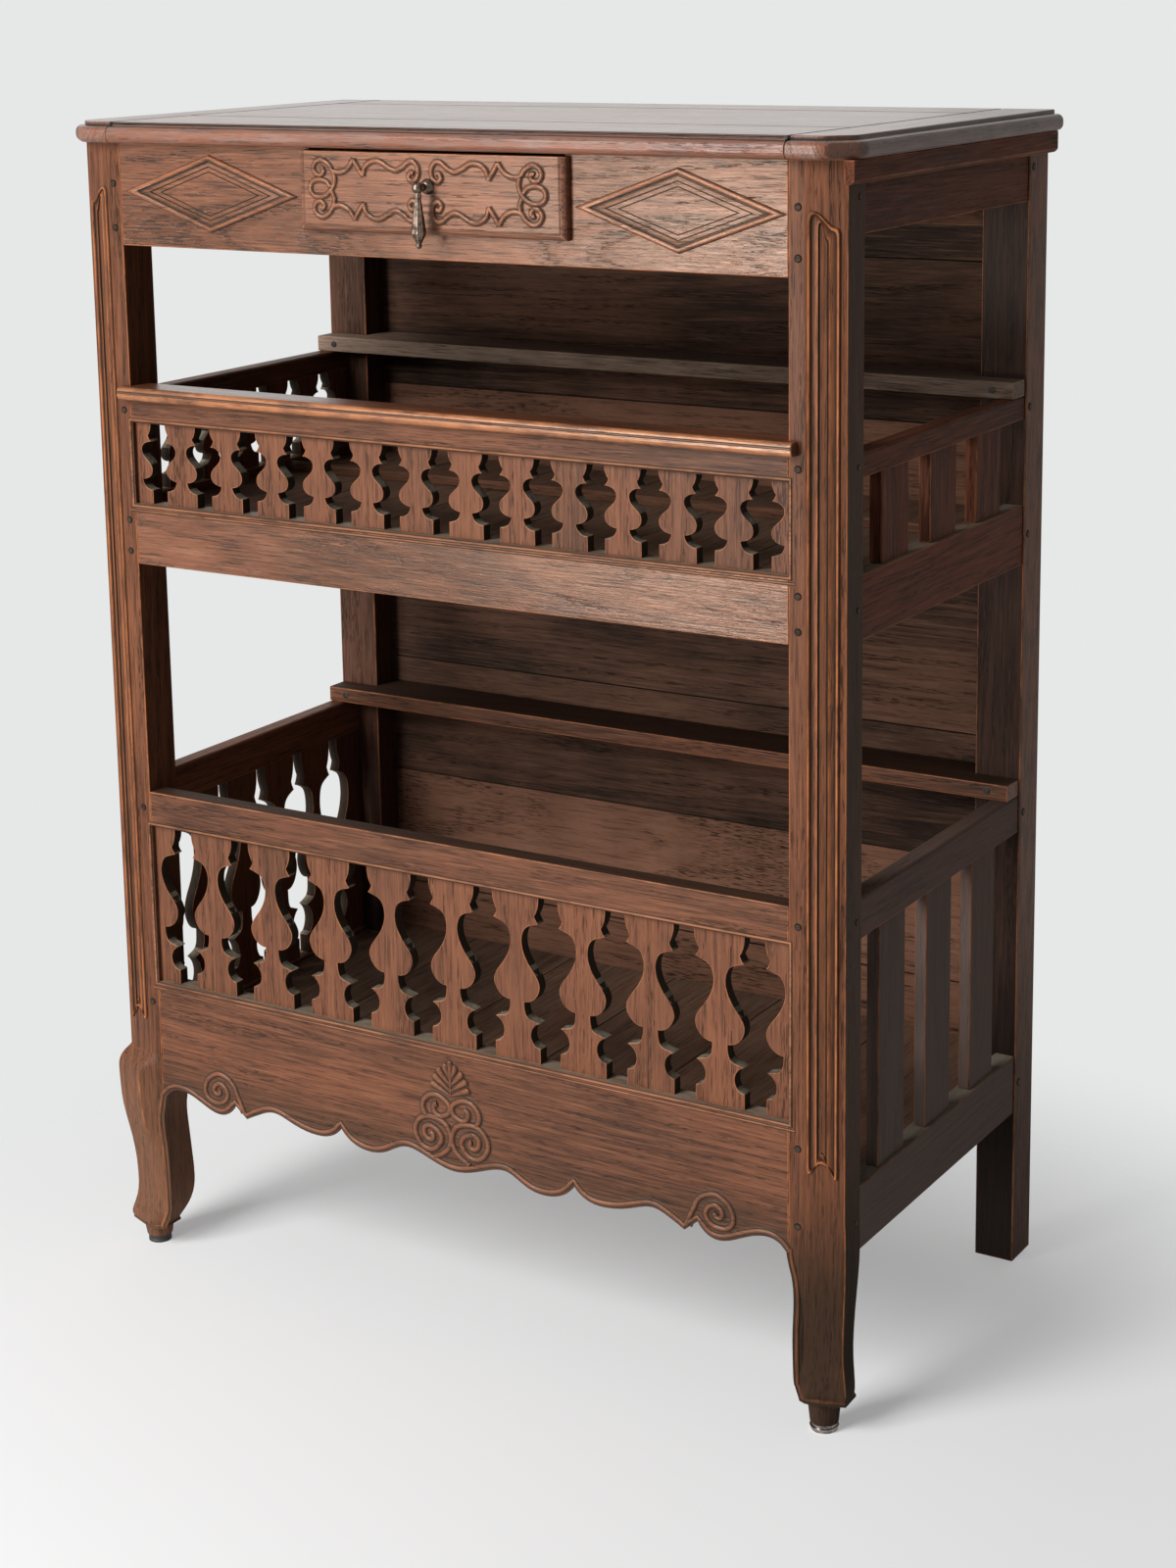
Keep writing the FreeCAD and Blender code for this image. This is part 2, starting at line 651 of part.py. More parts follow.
stop_front = front + plate_stop_setback
stop_end = side_inner - joint_clearance
plate_stop = box(-stop_end, stop_end, stop_front, stop_front + plate_stop_width, upper_floor_top,
                 upper_floor_top + plate_stop_height)
stop_top = upper_floor_top + plate_stop_height
keep("plate_stop", rounded(plate_stop, plate_stop_round, lambda e: along_x(e, stop_front, stop_top)
                           or along_x(e, stop_front + plate_stop_width, stop_top)))

upper_ledge, upper_nails = ledge(upper_top_rail_top)
lower_ledge, lower_nails = ledge(side_lower_top_top)
keep("upper_ledge", upper_ledge)
keep("lower_ledge", lower_ledge)
keep("ledge_nails", *upper_nails, *lower_nails)

board_end = rear_inner + back_rebate_width - joint_clearance
board_levels = (back_bottom, *back_joints, frame_top)
keep("back_boards", *[box(-board_end, board_end, board_front, back, low, high - board_gap)
                      for low, high in zip(board_levels, board_levels[1:])])


# The whole top as one blank, then cut into boards and end cleats
def top_slab(inset, z0, z1):
    x = half_width + top_overhang - inset
    y = front - top_overhang + inset
    clip = top_clip - inset * (2 - math.sqrt(2))
    points = [Vector(-x, back, z0), Vector(-x, y + clip, z0), Vector(clip - x, y, z0), Vector(x - clip, y, z0),
              Vector(x, y + clip, z0), Vector(x, back, z0)]
    return rounded(prism(points, Vector(0, 0, z1 - z0)), top_clip_round - inset / 2, clip_corner)


def clip_corner(edge):
    first, last = edge.Vertexes
    return near(first.X, last.X) and near(first.Y, last.Y) and not near(first.Y, back)


def moulded_edge(edge):
    level = all(near(v.Z, edge.Vertexes[0].Z) for v in edge.Vertexes)
    at_back = all(near(v.Y, back) for v in edge.Vertexes)
    return level and not at_back


def top_blank():
    slab = rounded(top_slab(0.0, frame_top, height - top_step), top_edge_round, moulded_edge)
    field = top_slab(top_step_inset + top_edge_round / 2, height - top_step, height)
    return joined(slab, field)


top = top_blank()
cleat_joint = half_width + top_overhang - end_cleat_width
tongue_z = frame_top + (top_thickness - top_step - top_tongue_thickness) / 2
tongue_tip = cleat_joint + top_tongue_length
top_joints = (-far, front - top_overhang + top_front_board, back - top_rear_board, far)
for name, y0, y1 in zip(("front", "middle", "rear"), top_joints, top_joints[1:]):
    boards = top.common(box(-cleat_joint, cleat_joint, y0, y1, 0, far))
    low = max(y0, boards.BoundBox.YMin + top_clip)
    high = min(y1, back - top_tongue_length)
    tongue = box(-tongue_tip, tongue_tip, low, high, tongue_z, tongue_z + top_tongue_thickness)
    keep(f"top_board_{name}", joined(boards, tongue))
groove_limits = (cleat_joint, tongue_tip, front - top_overhang + top_clip, back - top_tongue_length, tongue_z,
                 tongue_z + top_tongue_thickness)
cleat = top.common(box(cleat_joint, far, -far, far, 0, far)).cut(grown_box(groove_limits, joint_clearance))
keep("top_end_right", cleat)
keep("top_end_left", mirrored(cleat))

batten_outer = half_width + batten_thickness
batten_bottom = frame_top - batten_height


# A batten under the right-hand overhang, from a setback behind the front face to the back
def batten(setback):
    y = front + setback
    return prism([Vector(half_width, y, batten_bottom), Vector(batten_outer - batten_chamfer, y, batten_bottom),
                  Vector(batten_outer, y, batten_bottom + batten_chamfer), Vector(batten_outer, y, frame_top),
                  Vector(half_width, y, frame_top)], Vector(0, back - y, 0))


keep("side_battens", batten(right_batten_setback), mirrored(batten(left_batten_setback)))

# Posts, now that every socket in them is known
keep("post_front_right", front_post(right_leg, right_leg_top, right_pad_bottom))
keep("post_front_left", mirrored(front_post(left_leg, left_leg_top, left_pad_bottom)))
right_rear_post = rear_post()
keep("post_rear_right", right_rear_post)
keep("post_rear_left", mirrored(right_rear_post))
keep("joint_pegs", *pegs)


# Glides: a stud into the foot above a disc, plug or shoe that meets the floor
def glide(base, x, y, top_level):
    stud = Part.makeCylinder(glide_stud_radius, glide_stud_length, Vector(x, y, top_level))
    return joined(base, stud)


plug = Part.makeCylinder(plug_radius, front_glide_height, Vector(-foot_x, foot_y, 0))
groove_at = Vector(-foot_x, foot_y, front_glide_height / 2)
groove_ring = Part.makeTorus(plug_radius + plug_groove / 2, plug_groove, groove_at)
keep("glide_front_left", glide(plug.cut(groove_ring), -foot_x, foot_y, front_glide_height))
shoe = Part.makeCone(shoe_radius - plug_groove, shoe_radius, shoe_plate, Vector(foot_x, foot_y, 0))
shoe_neck = Part.makeCylinder(plug_radius, front_glide_height - shoe_plate, Vector(foot_x, foot_y, shoe_plate))
keep("glide_front_right", glide(joined(shoe, shoe_neck), foot_x, foot_y, front_glide_height))
rear_disc = Part.makeCylinder(rear_glide_radius, rear_glide_height, Vector(*rear_glide_place, 0))
rear_glide = glide(rear_disc, *rear_glide_place, rear_glide_height)
keep("glides_rear", rear_glide, mirrored(rear_glide))


# Runners that carry and guide the drawer
def runner(side):
    inner, middle, outer = [drawer_offset + side * x for x in (runner_inner, drawer_opening_half, runner_outer)]
    bed = box(*sorted((inner, outer)), rail_back, back_rail_front, runner_top - runner_height, runner_top)
    guide = box(*sorted((middle, outer)), rail_back, back_rail_front, runner_top, runner_top + guide_height)
    n = (side + 1) // 2
    return joined(bed, guide, box(*fore_stubs[n]), box(*aft_stubs[n]))


keep("drawer_runner_left", runner(-1))
keep("drawer_runner_right", runner(1))

# Drawer: a lipped front, and a box grooved for its bottom
box_bottom = runner_top + drawer_running_gap
box_back = back_rail_front - drawer_back_gap
bottom_z = box_bottom + drawer_bottom_rise
box_inner = drawer_inner_half - drawer_side_thickness
panel_half = box_inner + drawer_groove - joint_clearance
groove = box(drawer_offset - box_inner - drawer_groove, drawer_offset + box_inner + drawer_groove,
             drawer_inner_back - drawer_groove, box_back, bottom_z - joint_clearance,
             bottom_z + drawer_bottom_thickness + joint_clearance)
pull_x = drawer_offset
pull_z = drawer_front_bottom + drawer_front_height / 2 + pull_rise
stud_hole = Part.makeCylinder(stud_radius + joint_clearance, drawer_proud + drawer_inner_thickness,
                              Vector(pull_x, drawer_face, pull_z), Vector(0, 1, 0))
lip_left = drawer_offset - drawer_front_width / 2
lip_right = drawer_offset + drawer_front_width / 2
lip = box(lip_left, lip_right, drawer_face, front, drawer_front_bottom, drawer_front_top)
lip = rounded(lip, drawer_lip_round, lambda e: all(near(v.Y, drawer_face) for v in e.Vertexes)
              and not all(near(v.Z, drawer_front_top) for v in e.Vertexes))
core = box(drawer_offset - drawer_inner_half, drawer_offset + drawer_inner_half, front, drawer_inner_back,
           box_bottom, drawer_front_top)
keep("drawer_front", joined(lip, core).cut([groove, stud_hole]))
side_board = box(drawer_offset + box_inner, drawer_offset + drawer_inner_half, drawer_inner_back, box_back,
                 box_bottom, box_bottom + drawer_side_height)
other_side = box(drawer_offset - drawer_inner_half, drawer_offset - box_inner, drawer_inner_back, box_back,
                 box_bottom, box_bottom + drawer_side_height)
keep("drawer_side_right", side_board.cut(groove))
keep("drawer_side_left", other_side.cut(groove))
panel_top = bottom_z + drawer_bottom_thickness
keep("drawer_back", box(drawer_offset - box_inner, drawer_offset + box_inner, box_back - drawer_side_thickness,
                        box_back, panel_top, box_bottom + drawer_side_height))
keep("drawer_bottom", box(drawer_offset - panel_half, drawer_offset + panel_half,
                          drawer_inner_back - drawer_groove + joint_clearance, box_back, bottom_z, panel_top))

# Drop pull
ball_y = drawer_face - pull_standoff
ball_at = Vector(pull_x, ball_y, pull_z)
inward = Vector(0, 1, 0)
dome_radius = (rosette_radius ** 2 + rosette_height ** 2) / (2 * rosette_height)
dome = Part.makeSphere(dome_radius, Vector(pull_x, drawer_face - rosette_height + dome_radius, pull_z))
dome = dome.common(box(pull_x - far, pull_x + far, -far, drawer_face, 0, far))
through_hole = Part.makeCylinder(stud_radius + joint_clearance, far, Vector(pull_x, -far / 2, pull_z), inward)
keep("pull_rosette", dome.cut(through_hole))

stem_front = ball_y + ball_radius + slot_clearance
stem = Part.makeCylinder(stud_radius, drawer_inner_back + 2 * nut_height - stem_front,
                         Vector(pull_x, stem_front, pull_z), inward)
plate = box(pull_x - tongue_plate / 2, pull_x + tongue_plate / 2, ball_y, stem_front + nut_height,
            pull_z - tongue_plate_radius, pull_z + tongue_plate_radius)
across = Vector(1, 0, 0)
plate_end = Part.makeCylinder(tongue_plate_radius, tongue_plate, ball_at - across * tongue_plate / 2, across)
pin_start = ball_at - across * pin_length / 2
running_hole = Part.makeCylinder(pin_radius + pin_running_clearance, pin_length, pin_start, across)
keep("pull_stud", joined(stem, plate, plate_end).cut(running_hole))
nut = Part.makeBox(nut_width, nut_height, nut_width,
                   Vector(pull_x - nut_width / 2, drawer_inner_back, pull_z - nut_width / 2))
keep("pull_nut", nut.cut(through_hole))
pin = Part.makeCylinder(pin_radius, pin_length, pin_start, across)
keep("pull_pin", pin)


# The drop: facets that swell towards the foot, under a slotted ball, with a small finial
def facet_ring(drop, radius):
    turns = [2 * math.pi * (n + 0.5) / drop_facets for n in range(drop_facets)]
    return polygon([ball_at + Vector(radius * math.cos(t), radius * math.sin(t), -drop) for t in turns])


slot_half = tongue_plate / 2 + slot_clearance
slot_radius = tongue_plate_radius + slot_clearance
slot_x = (pull_x - slot_half, pull_x + slot_half)
slot = joined(box(*slot_x, ball_y - slot_radius, ball_y + far, pull_z, pull_z + far),
              box(*slot_x, ball_y, ball_y + far, pull_z - slot_radius, pull_z),
              Part.makeCylinder(slot_radius, 2 * slot_half, Vector(slot_x[0], ball_y, pull_z), across))
seat_hole = Part.makeCylinder(pin_radius + pin_seat_clearance, 2 * pin_length,
                              pin_start - across * pin_length / 2, across)
body = Part.makeLoft([facet_ring(*station) for station in drop_stations], True, True)
finial = Part.makeSphere(finial_radius, ball_at - Vector(0, 0, finial_drop))
keep("pull_drop", joined(Part.makeSphere(ball_radius, ball_at), body, finial).cut([slot, seat_hole]))

for name, solids in pieces.items():
    shape = solids[0] if len(solids) == 1 else Part.makeCompound(solids)
    shape.exportStep(f"parts/{name}.step")
print(len(pieces), "nodes,", sum(len(Part.makeCompound(solids).Solids) for solids in pieces.values()), "solids")
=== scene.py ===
import json
import math
import random

import bmesh
import bpy
from mathutils import Matrix, Vector, geometry


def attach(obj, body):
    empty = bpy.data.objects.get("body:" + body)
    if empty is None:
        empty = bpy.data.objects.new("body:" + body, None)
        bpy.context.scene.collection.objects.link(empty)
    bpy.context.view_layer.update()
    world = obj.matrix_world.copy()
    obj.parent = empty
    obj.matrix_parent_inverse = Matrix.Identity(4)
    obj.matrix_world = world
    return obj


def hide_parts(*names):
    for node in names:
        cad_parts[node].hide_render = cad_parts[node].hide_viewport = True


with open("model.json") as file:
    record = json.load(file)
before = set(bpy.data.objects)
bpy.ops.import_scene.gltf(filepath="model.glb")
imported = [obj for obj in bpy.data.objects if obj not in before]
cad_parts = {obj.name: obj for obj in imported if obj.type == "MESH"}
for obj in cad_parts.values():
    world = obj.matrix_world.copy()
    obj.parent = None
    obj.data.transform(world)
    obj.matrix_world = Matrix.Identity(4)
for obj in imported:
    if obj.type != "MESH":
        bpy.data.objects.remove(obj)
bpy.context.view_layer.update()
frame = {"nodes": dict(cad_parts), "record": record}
record = frame["record"]
mm = 0.001
dice = random.Random(7)
bodyOf = {node: body for body, nodes in record["behaviour"]["bodies"].items() for node in nodes}
slotOf = {part["node"]: part["material_slot"] for part in record["subparts"]}
print("frame loaded,", len(frame["nodes"]), "pieces")


# shader maths: one wrapped socket, so that values add and multiply as plain numbers do
class Shade:
    def __init__(self, tree, socket=None):
        self.tree = tree
        self.socket = socket

    def node(self, kind, settings=None, sockets=None, out=0):
        made = self.tree.nodes.new(kind)
        for key, value in (settings or {}).items():
            setattr(made, key, value)
        for key, value in (sockets or {}).items():
            if isinstance(value, Shade):
                self.tree.links.new(value.socket, made.inputs[key])
            else:
                made.inputs[key].default_value = value
        return Shade(self.tree, made.outputs[out])

    def sum(self, operation, first, second):
        return self.node("ShaderNodeMath", {"operation": operation}, {0: first, 1: second})

    def __add__(self, other):
        return self.sum("ADD", self, other)

    def __sub__(self, other):
        return self.sum("SUBTRACT", self, other)

    def __rsub__(self, other):
        return self.sum("SUBTRACT", other, self)

    def __mul__(self, other):
        return self.sum("MULTIPLY", self, other)

    __radd__ = __add__
    __rmul__ = __mul__

    def between(self, low, high):   # 0 under low, 1 over high, eased in between
        return self.node("ShaderNodeMapRange", {"interpolation_type": "SMOOTHSTEP"},
                         {"Value": self, "From Min": low, "From Max": high})

    # colour from first to second by this value, through the node's colour sockets 6, 7 and 2
    def blend(self, first, second):
        return self.node("ShaderNodeMix", {"data_type": "RGBA"}, {"Factor": self, 6: first, 7: second}, out=2)

    def vector(self, operation, other, out="Vector"):
        return self.node("ShaderNodeVectorMath", {"operation": operation}, {0: self, 1: other}, out=out)

    def length(self):
        return self.vector("LENGTH", (0, 0, 0), out="Value")

    def noise(self, stretch, detail, roughness=0.5, out=0):
        spread = self.vector("MULTIPLY", stretch)
        return self.node("ShaderNodeTexNoise", {}, {"Vector": spread, "Scale": 1.0, "Detail": detail,
                                                    "Roughness": roughness}, out=out)


def rgb(red, green, blue):   # picture colour 0-255 to linear
    linear = [c / 255 / 12.92 if c < 11 else ((c / 255 + 0.055) / 1.055) ** 2.4 for c in (red, green, blue)]
    return (*linear, 1.0)


def newMaterial(name):
    material = bpy.data.materials.new(name)
    material.use_nodes = True
    material.node_tree.nodes.clear()
    tree = material.node_tree
    surface = tree.nodes.new("ShaderNodeBsdfPrincipled")
    output = tree.nodes.new("ShaderNodeOutputMaterial")
    tree.links.new(surface.outputs[0], output.inputs[0])
    return material, Shade(tree), surface


def feed(shade, surface, **sockets):
    for name, value in sockets.items():
        shade.tree.links.new(value.socket, surface.inputs[name.replace("_", " ")])


# oak finishes: tones of the wood and of its marks, and how strong each mark is
# the foot values tint the wood low down, with their levels in metres: dirt risen from the floor on the front
# legs and apron, darker towards the bottom on the rear posts, and a painted grey sheen low on the side
waxedOak = {"dark": rgb(56, 34, 25), "mid": rgb(120, 73, 51), "pale": rgb(150, 98, 70),
            "pore": rgb(34, 22, 17), "worn": rgb(178, 113, 75), "grimeAndShade": rgb(27, 24, 19),
            "dust": rgb(140, 133, 116), "sheen": rgb(255, 234, 214), "wearing": 0.7, "gloss": 0.5,
            "coat": 0.04, "shine": 0.22, "figure": 0.65, "footGrimeAndSheen": 0.0}
postOak = {**waxedOak, "mid": rgb(114, 70, 48), "pale": rgb(148, 92, 63), "worn": rgb(178, 109, 67),
           "wearing": 0.88, "shine": 0.14}
oakLooks = {
    "waxed": waxedOak,
    "post": {**postOak, "footGrimeAndSheen": 0.3, "footLevels": (0.2, 0.29), "footSoilAndSheen": rgb(112, 86, 66)},
    "postRight": {**postOak, "pale": rgb(148, 93, 63), "grimeAndShade": rgb(33, 28, 22), "footGrimeAndSheen": 0.85,
                  "footLevels": (0.14, 0.36), "footSoilAndSheen": rgb(33, 28, 22)},
    # the rear posts' darker tones are painted shade at the back of the case
    "rearPost": {**waxedOak, "dark": rgb(42, 29, 23), "mid": rgb(96, 63, 49), "pale": rgb(118, 81, 64),
                 "grimeAndShade": rgb(25, 23, 22), "shine": 0.1, "footGrimeAndSheen": 0.85, "footLevels": (0.2, 0.5),
                 "footSoilAndSheen": rgb(25, 23, 22)},
    "baluster": {**waxedOak, "dark": rgb(72, 45, 33), "mid": rgb(119, 73, 51), "pale": rgb(144, 94, 67),
                 "wearing": 0.85, "shine": 0.2, "figure": 0.52},
    "apron": {**waxedOak, "footGrimeAndSheen": 0.55, "footLevels": (0.205, 0.275), "footSoilAndSheen": rgb(38, 33, 26)},
    "frieze": {**waxedOak, "dark": rgb(52, 31, 22), "mid": rgb(116, 70, 49), "pale": rgb(150, 102, 77),
               "gloss": 0.25, "coat": 0.0, "shine": 0.47, "figure": 0.95},
    "drawer": {**waxedOak, "dark": rgb(60, 36, 26), "mid": rgb(125, 77, 55), "pale": rgb(160, 110, 84),
               "gloss": 0.25, "coat": 0.0, "shine": 0.52, "figure": 0.8},
    # the cap's pale worn tone on its nose is partly wear and partly a painted highlight
    "cap": {**waxedOak, "mid": rgb(140, 82, 54), "pale": rgb(176, 112, 76), "worn": rgb(202, 132, 84),
            "gloss": 0.26, "coat": 0.2, "shine": 0.55, "figure": 0.45},
    # the lips' pale worn tone is partly wear and partly a painted highlight along their crests
    "lip": {**waxedOak, "worn": rgb(190, 124, 82), "gloss": 0.42, "shine": 0.26, "figure": 0.3},
    # the carved look's grime tone darkens the ground round the beads, partly dirt and partly painted shade
    "carved": {**waxedOak, "worn": rgb(152, 94, 62), "grimeAndShade": rgb(30, 26, 20), "gloss": 0.36, "shine": 0.34,
               "figure": 0.35},
    "peg": {**waxedOak, "dark": rgb(44, 37, 32), "mid": rgb(76, 63, 54), "pale": rgb(96, 82, 70),
            "shine": 0.1},
    "dry": {**waxedOak, "dark": rgb(56, 39, 31), "mid": rgb(112, 76, 58), "pale": rgb(132, 96, 76),
            "worn": rgb(140, 98, 70), "dust": rgb(122, 108, 92), "wearing": 0.5, "gloss": 0.65, "coat": 0.0,
            "shine": 0.1},
    "back": {**waxedOak, "dark": rgb(32, 27, 24), "mid": rgb(122, 86, 68), "pale": rgb(140, 100, 80),
             "worn": rgb(140, 98, 70), "wearing": 0.5, "gloss": 0.65, "coat": 0.0, "shine": 0.1,
             "figure": 0.42},
    "ledge": {**waxedOak, "dark": rgb(76, 63, 54), "mid": rgb(144, 121, 105), "pale": rgb(170, 149, 132),
              "worn": rgb(160, 130, 104), "dust": rgb(122, 112, 98), "wearing": 0.5, "gloss": 0.6,
              "coat": 0.0, "shine": 0.15},
    "top": {**waxedOak, "dark": rgb(84, 60, 52), "mid": rgb(140, 106, 92), "pale": rgb(164, 130, 116),
            "worn": rgb(128, 74, 48), "wearing": 1.0, "gloss": 0.34, "coat": 0.5, "shine": 0.35,
            "sheen": rgb(255, 255, 255)},
    # the right side's darker tones are painted shade on the side turned from the light, and its grey low down
    # is a painted sheen
    "side": {**waxedOak, "dark": rgb(44, 26, 19), "mid": rgb(108, 60, 42), "pale": rgb(136, 82, 62),
             "worn": rgb(164, 104, 68), "wearing": 0.6, "gloss": 0.6, "coat": 0.0, "shine": 0.08,
             "footGrimeAndSheen": 0.7, "footLevels": (0.4, 1.0), "footSoilAndSheen": rgb(98, 91, 86)},
}
# noises of the wood: turns per metre along and across the grain, detail and roughness
oakGrain = {"warp": ((2.4, 12.0, 12.0), 3.0), "rings": ((210.0, 3.5, 1.0), 3.0, 0.6),
            "streaks": ((7.0, 75.0, 75.0), 3.0, 0.6), "fibre": ((17.0, 420.0, 420.0), 3.0, 0.6),
            "pores": ((60.0, 700.0, 700.0), 1.0), "patches": ((2.4, 8.0, 8.0), 4.0, 0.6),
            "planing": ((9.0, 16.0, 16.0), 2.0), "scuffs": ((16.0, 60.0, 60.0), 4.0, 0.7)}
ringShape = {"warp": 0.012, "taper": 0.05}   # growth rings round the heart of the log, a little warped
# levels of its noise between which a mark comes up
oakLevels = {"early": (0.5, 0.62), "late": (0.32, 0.5), "pores": (0.53, 0.64), "patches": (0.3, 0.68),
             "streaks": (0.35, 0.6), "paleFibre": (0.3, 0.5), "darkFibre": (0.54, 0.64),
             "scuffs": (0.36, 0.6), "dust": (0.3, 0.62)}
# how far a mark takes the colour with it
oakShares = {"patches": 0.6, "tone": 0.35, "least": 0.08, "late": 0.38, "early": 0.35, "streaks": 0.14,
             "paleFibre": 0.45, "darkFibre": 0.85, "pores": 0.8, "earlyPores": 0.8, "latePores": 0.2,
             "scuffs": 0.75, "evenWear": 0.15, "patchyDirtAndShade": 0.5, "evenDirtAndShade": 0.7, "rubbedClean": 0.8,
             "dustScuffs": 0.5, "dustPatches": 0.35}
oakRough = {"patches": 0.16, "fibre": 0.2, "worn": 0.1, "grimeAndShade": 0.2, "dust": 0.4, "polish": 0.13}
oakRelief = {"planing": 1.6, "fibre": 0.5, "pores": 0.6, "early": 0.15, "depth": 0.0007}
oakCoat = {"streaks": 1.1, "least": 0.4, "roughness": 0.28}
grainTurn = {"x": (0.0, 0.0, 0.0), "y": (0.0, 0.0, -math.pi / 2), "z": (0.0, math.pi / 2, 0.0)}
oakMade = {}


def oakMarks(shade, wood):   # the noises and marks of the grain, for a place in the log
    warp = wood.noise(*oakGrain["warp"], out="Color")
    shifted = warp.vector("MULTIPLY", (ringShape["warp"],) * 3).vector("ADD", wood)
    distance = shifted.vector("MULTIPLY", (ringShape["taper"], 1.0, 1.0)).length()
    along = shade.node("ShaderNodeSeparateXYZ", {}, {0: wood})
    rings = shade.node("ShaderNodeCombineXYZ", {}, {0: distance, 1: along}).noise(*oakGrain["rings"])
    marks = {name: wood.noise(*oakGrain[name]) for name in
             ("streaks", "fibre", "patches", "planing", "scuffs", "pores")}
    marks["early"] = rings.between(*oakLevels["early"])
    marks["late"] = 1 - rings.between(*oakLevels["late"])
    inPores = marks["early"] * oakShares["earlyPores"] + oakShares["latePores"]
    marks["pores"] = marks["pores"].between(*oakLevels["pores"]) * inPores
    return marks


def oak(look, grain):
    if (look, grain) in oakMade:
        return oakMade[look, grain]
    tones, levels, shares = oakLooks[look], oakLevels, oakShares
    figure = tones["figure"]   # how strongly the grain shows
    material, shade, surface = newMaterial(f"{look}Oak_{grain}")
    place = shade.node("ShaderNodeTexCoord", out="Object")
    heart = shade.node("ShaderNodeAttribute", {"attribute_name": "heart"}, out="Vector")
    tone, wear, grimeAndShade, dust = (shade.node("ShaderNodeAttribute", {"attribute_name": name}, out="Fac")
                               for name in ("tone", "wear", "grimeAndShade", "dust"))
    wood = shade.node("ShaderNodeMapping", {}, {"Vector": place.vector("SUBTRACT", heart),
                                                "Rotation": grainTurn[grain]})
    marks = oakMarks(shade, wood)
    early, fibre, pores, patches = (marks[name] for name in ("early", "fibre", "pores", "patches"))
    # the bare wood
    toMid = patches.between(*levels["patches"]) * shares["patches"] + tone * shares["tone"] + shares["least"]
    ground = toMid.blend(tones["dark"], tones["mid"])
    ground = (marks["late"] * (shares["late"] * figure)).blend(ground, tones["pale"])
    ground = (early * (shares["early"] * figure)).blend(ground, tones["dark"])
    calm = marks["streaks"].between(*levels["streaks"])
    ground = (shares["streaks"] - calm * shares["streaks"]).blend(ground, tones["dark"])
    paleFibre = 1 - fibre.between(*levels["paleFibre"])
    ground = (paleFibre * (shares["paleFibre"] * figure)).blend(ground, tones["pale"])
    darkFibre = fibre.between(*levels["darkFibre"])
    ground = (darkFibre * (shares["darkFibre"] * figure)).blend(ground, tones["pore"])
    ground = (pores * shares["pores"]).blend(ground, tones["pore"])
    # what use has left on it
    worn = wear * (marks["scuffs"].between(*levels["scuffs"]) * shares["scuffs"] + shares["evenWear"])
    worn = worn * tones["wearing"]
    ground = worn.blend(ground, tones["worn"])
    # the grime tone darkens the wood with dirt in joints, and with painted shade in grooves, quirks and on
    # faces turned from the light
    uneven = patches * shares["patchyDirtAndShade"] + shares["evenDirtAndShade"]
    ground = (grimeAndShade * uneven).blend(ground, tones["grimeAndShade"])
    # low down: dirt on the legs and apron, darker on the rear posts, and a painted grey sheen on the side
    if tones["footGrimeAndSheen"]:
        height = shade.node("ShaderNodeSeparateXYZ", {}, {0: place}, out="Z")
        risenSoilAndSheen = 1 - height.between(*tones["footLevels"])
        risenSoilAndSheen = risenSoilAndSheen * (1 - wear * shares["rubbedClean"]) * tones["footGrimeAndSheen"]
        ground = (risenSoilAndSheen * uneven).blend(ground, tones["footSoilAndSheen"])
        grimeAndShade = grimeAndShade + risenSoilAndSheen
    scuffed = marks["scuffs"].between(*levels["dust"])
    dusty = dust * (scuffed * shares["dustScuffs"] + patches * shares["dustPatches"])
    ground = dusty.blend(ground, tones["dust"])
    rough = (tones["gloss"] + patches * oakRough["patches"] + fibre * oakRough["fibre"]
             - worn * oakRough["worn"] + grimeAndShade * oakRough["grimeAndShade"] + dusty * oakRough["dust"]
             - oakRough["polish"])
    relief = (marks["planing"] * oakRelief["planing"] - fibre * oakRelief["fibre"]
              - pores * oakRelief["pores"] - early * oakRelief["early"])
    bump = shade.node("ShaderNodeBump", {}, {"Height": relief, "Distance": oakRelief["depth"],
                                             "Strength": 1.0})
    coat = (1 - wear) * (1 - grimeAndShade) * (marks["streaks"] * oakCoat["streaks"] + oakCoat["least"])
    coat = coat * tones["coat"]
    feed(shade, surface, Base_Color=ground, Roughness=rough, Normal=bump, Coat_Weight=coat)
    surface.inputs["Specular IOR Level"].default_value = tones["shine"]
    surface.inputs["Specular Tint"].default_value = tones["sheen"]
    surface.inputs["Coat Roughness"].default_value = oakCoat["roughness"]
    oakMade[look, grain] = material
    return material


# metal and rubber: clouded from dark to bright, with a paler tone on rubbed edges
metalLooks = {
    "pull_bronze": {"dark": rgb(58, 47, 41), "bright": rgb(134, 115, 102), "edge": rgb(200, 184, 170),
                    "metal": 1.0, "gloss": 0.3},
    "nail_iron": {"dark": rgb(30, 27, 26), "bright": rgb(62, 56, 52), "edge": rgb(96, 88, 80),
                  "metal": 0.7, "gloss": 0.55},
    "shoe_steel": {"dark": rgb(96, 90, 84), "bright": rgb(158, 152, 146), "edge": rgb(206, 202, 198),
                   "metal": 1.0, "gloss": 0.25},
    "glide_plug": {"dark": rgb(16, 16, 16), "bright": rgb(34, 33, 32), "edge": rgb(70, 68, 64),
                   "metal": 0.0, "gloss": 0.55},
}
metalGrain = {"cloud": ((160.0, 160.0, 160.0), 4.0, 0.65), "grit": ((900.0, 900.0, 900.0), 2.0),
              "brightLevels": (0.32, 0.68), "edgeLevels": (0.25, 0.6), "edgeShare": 0.8, "cloudRough": 0.2,
              "gritRough": 0.1, "polish": 0.12, "gritRelief": 0.4, "depth": 0.0002, "strength": 0.6}


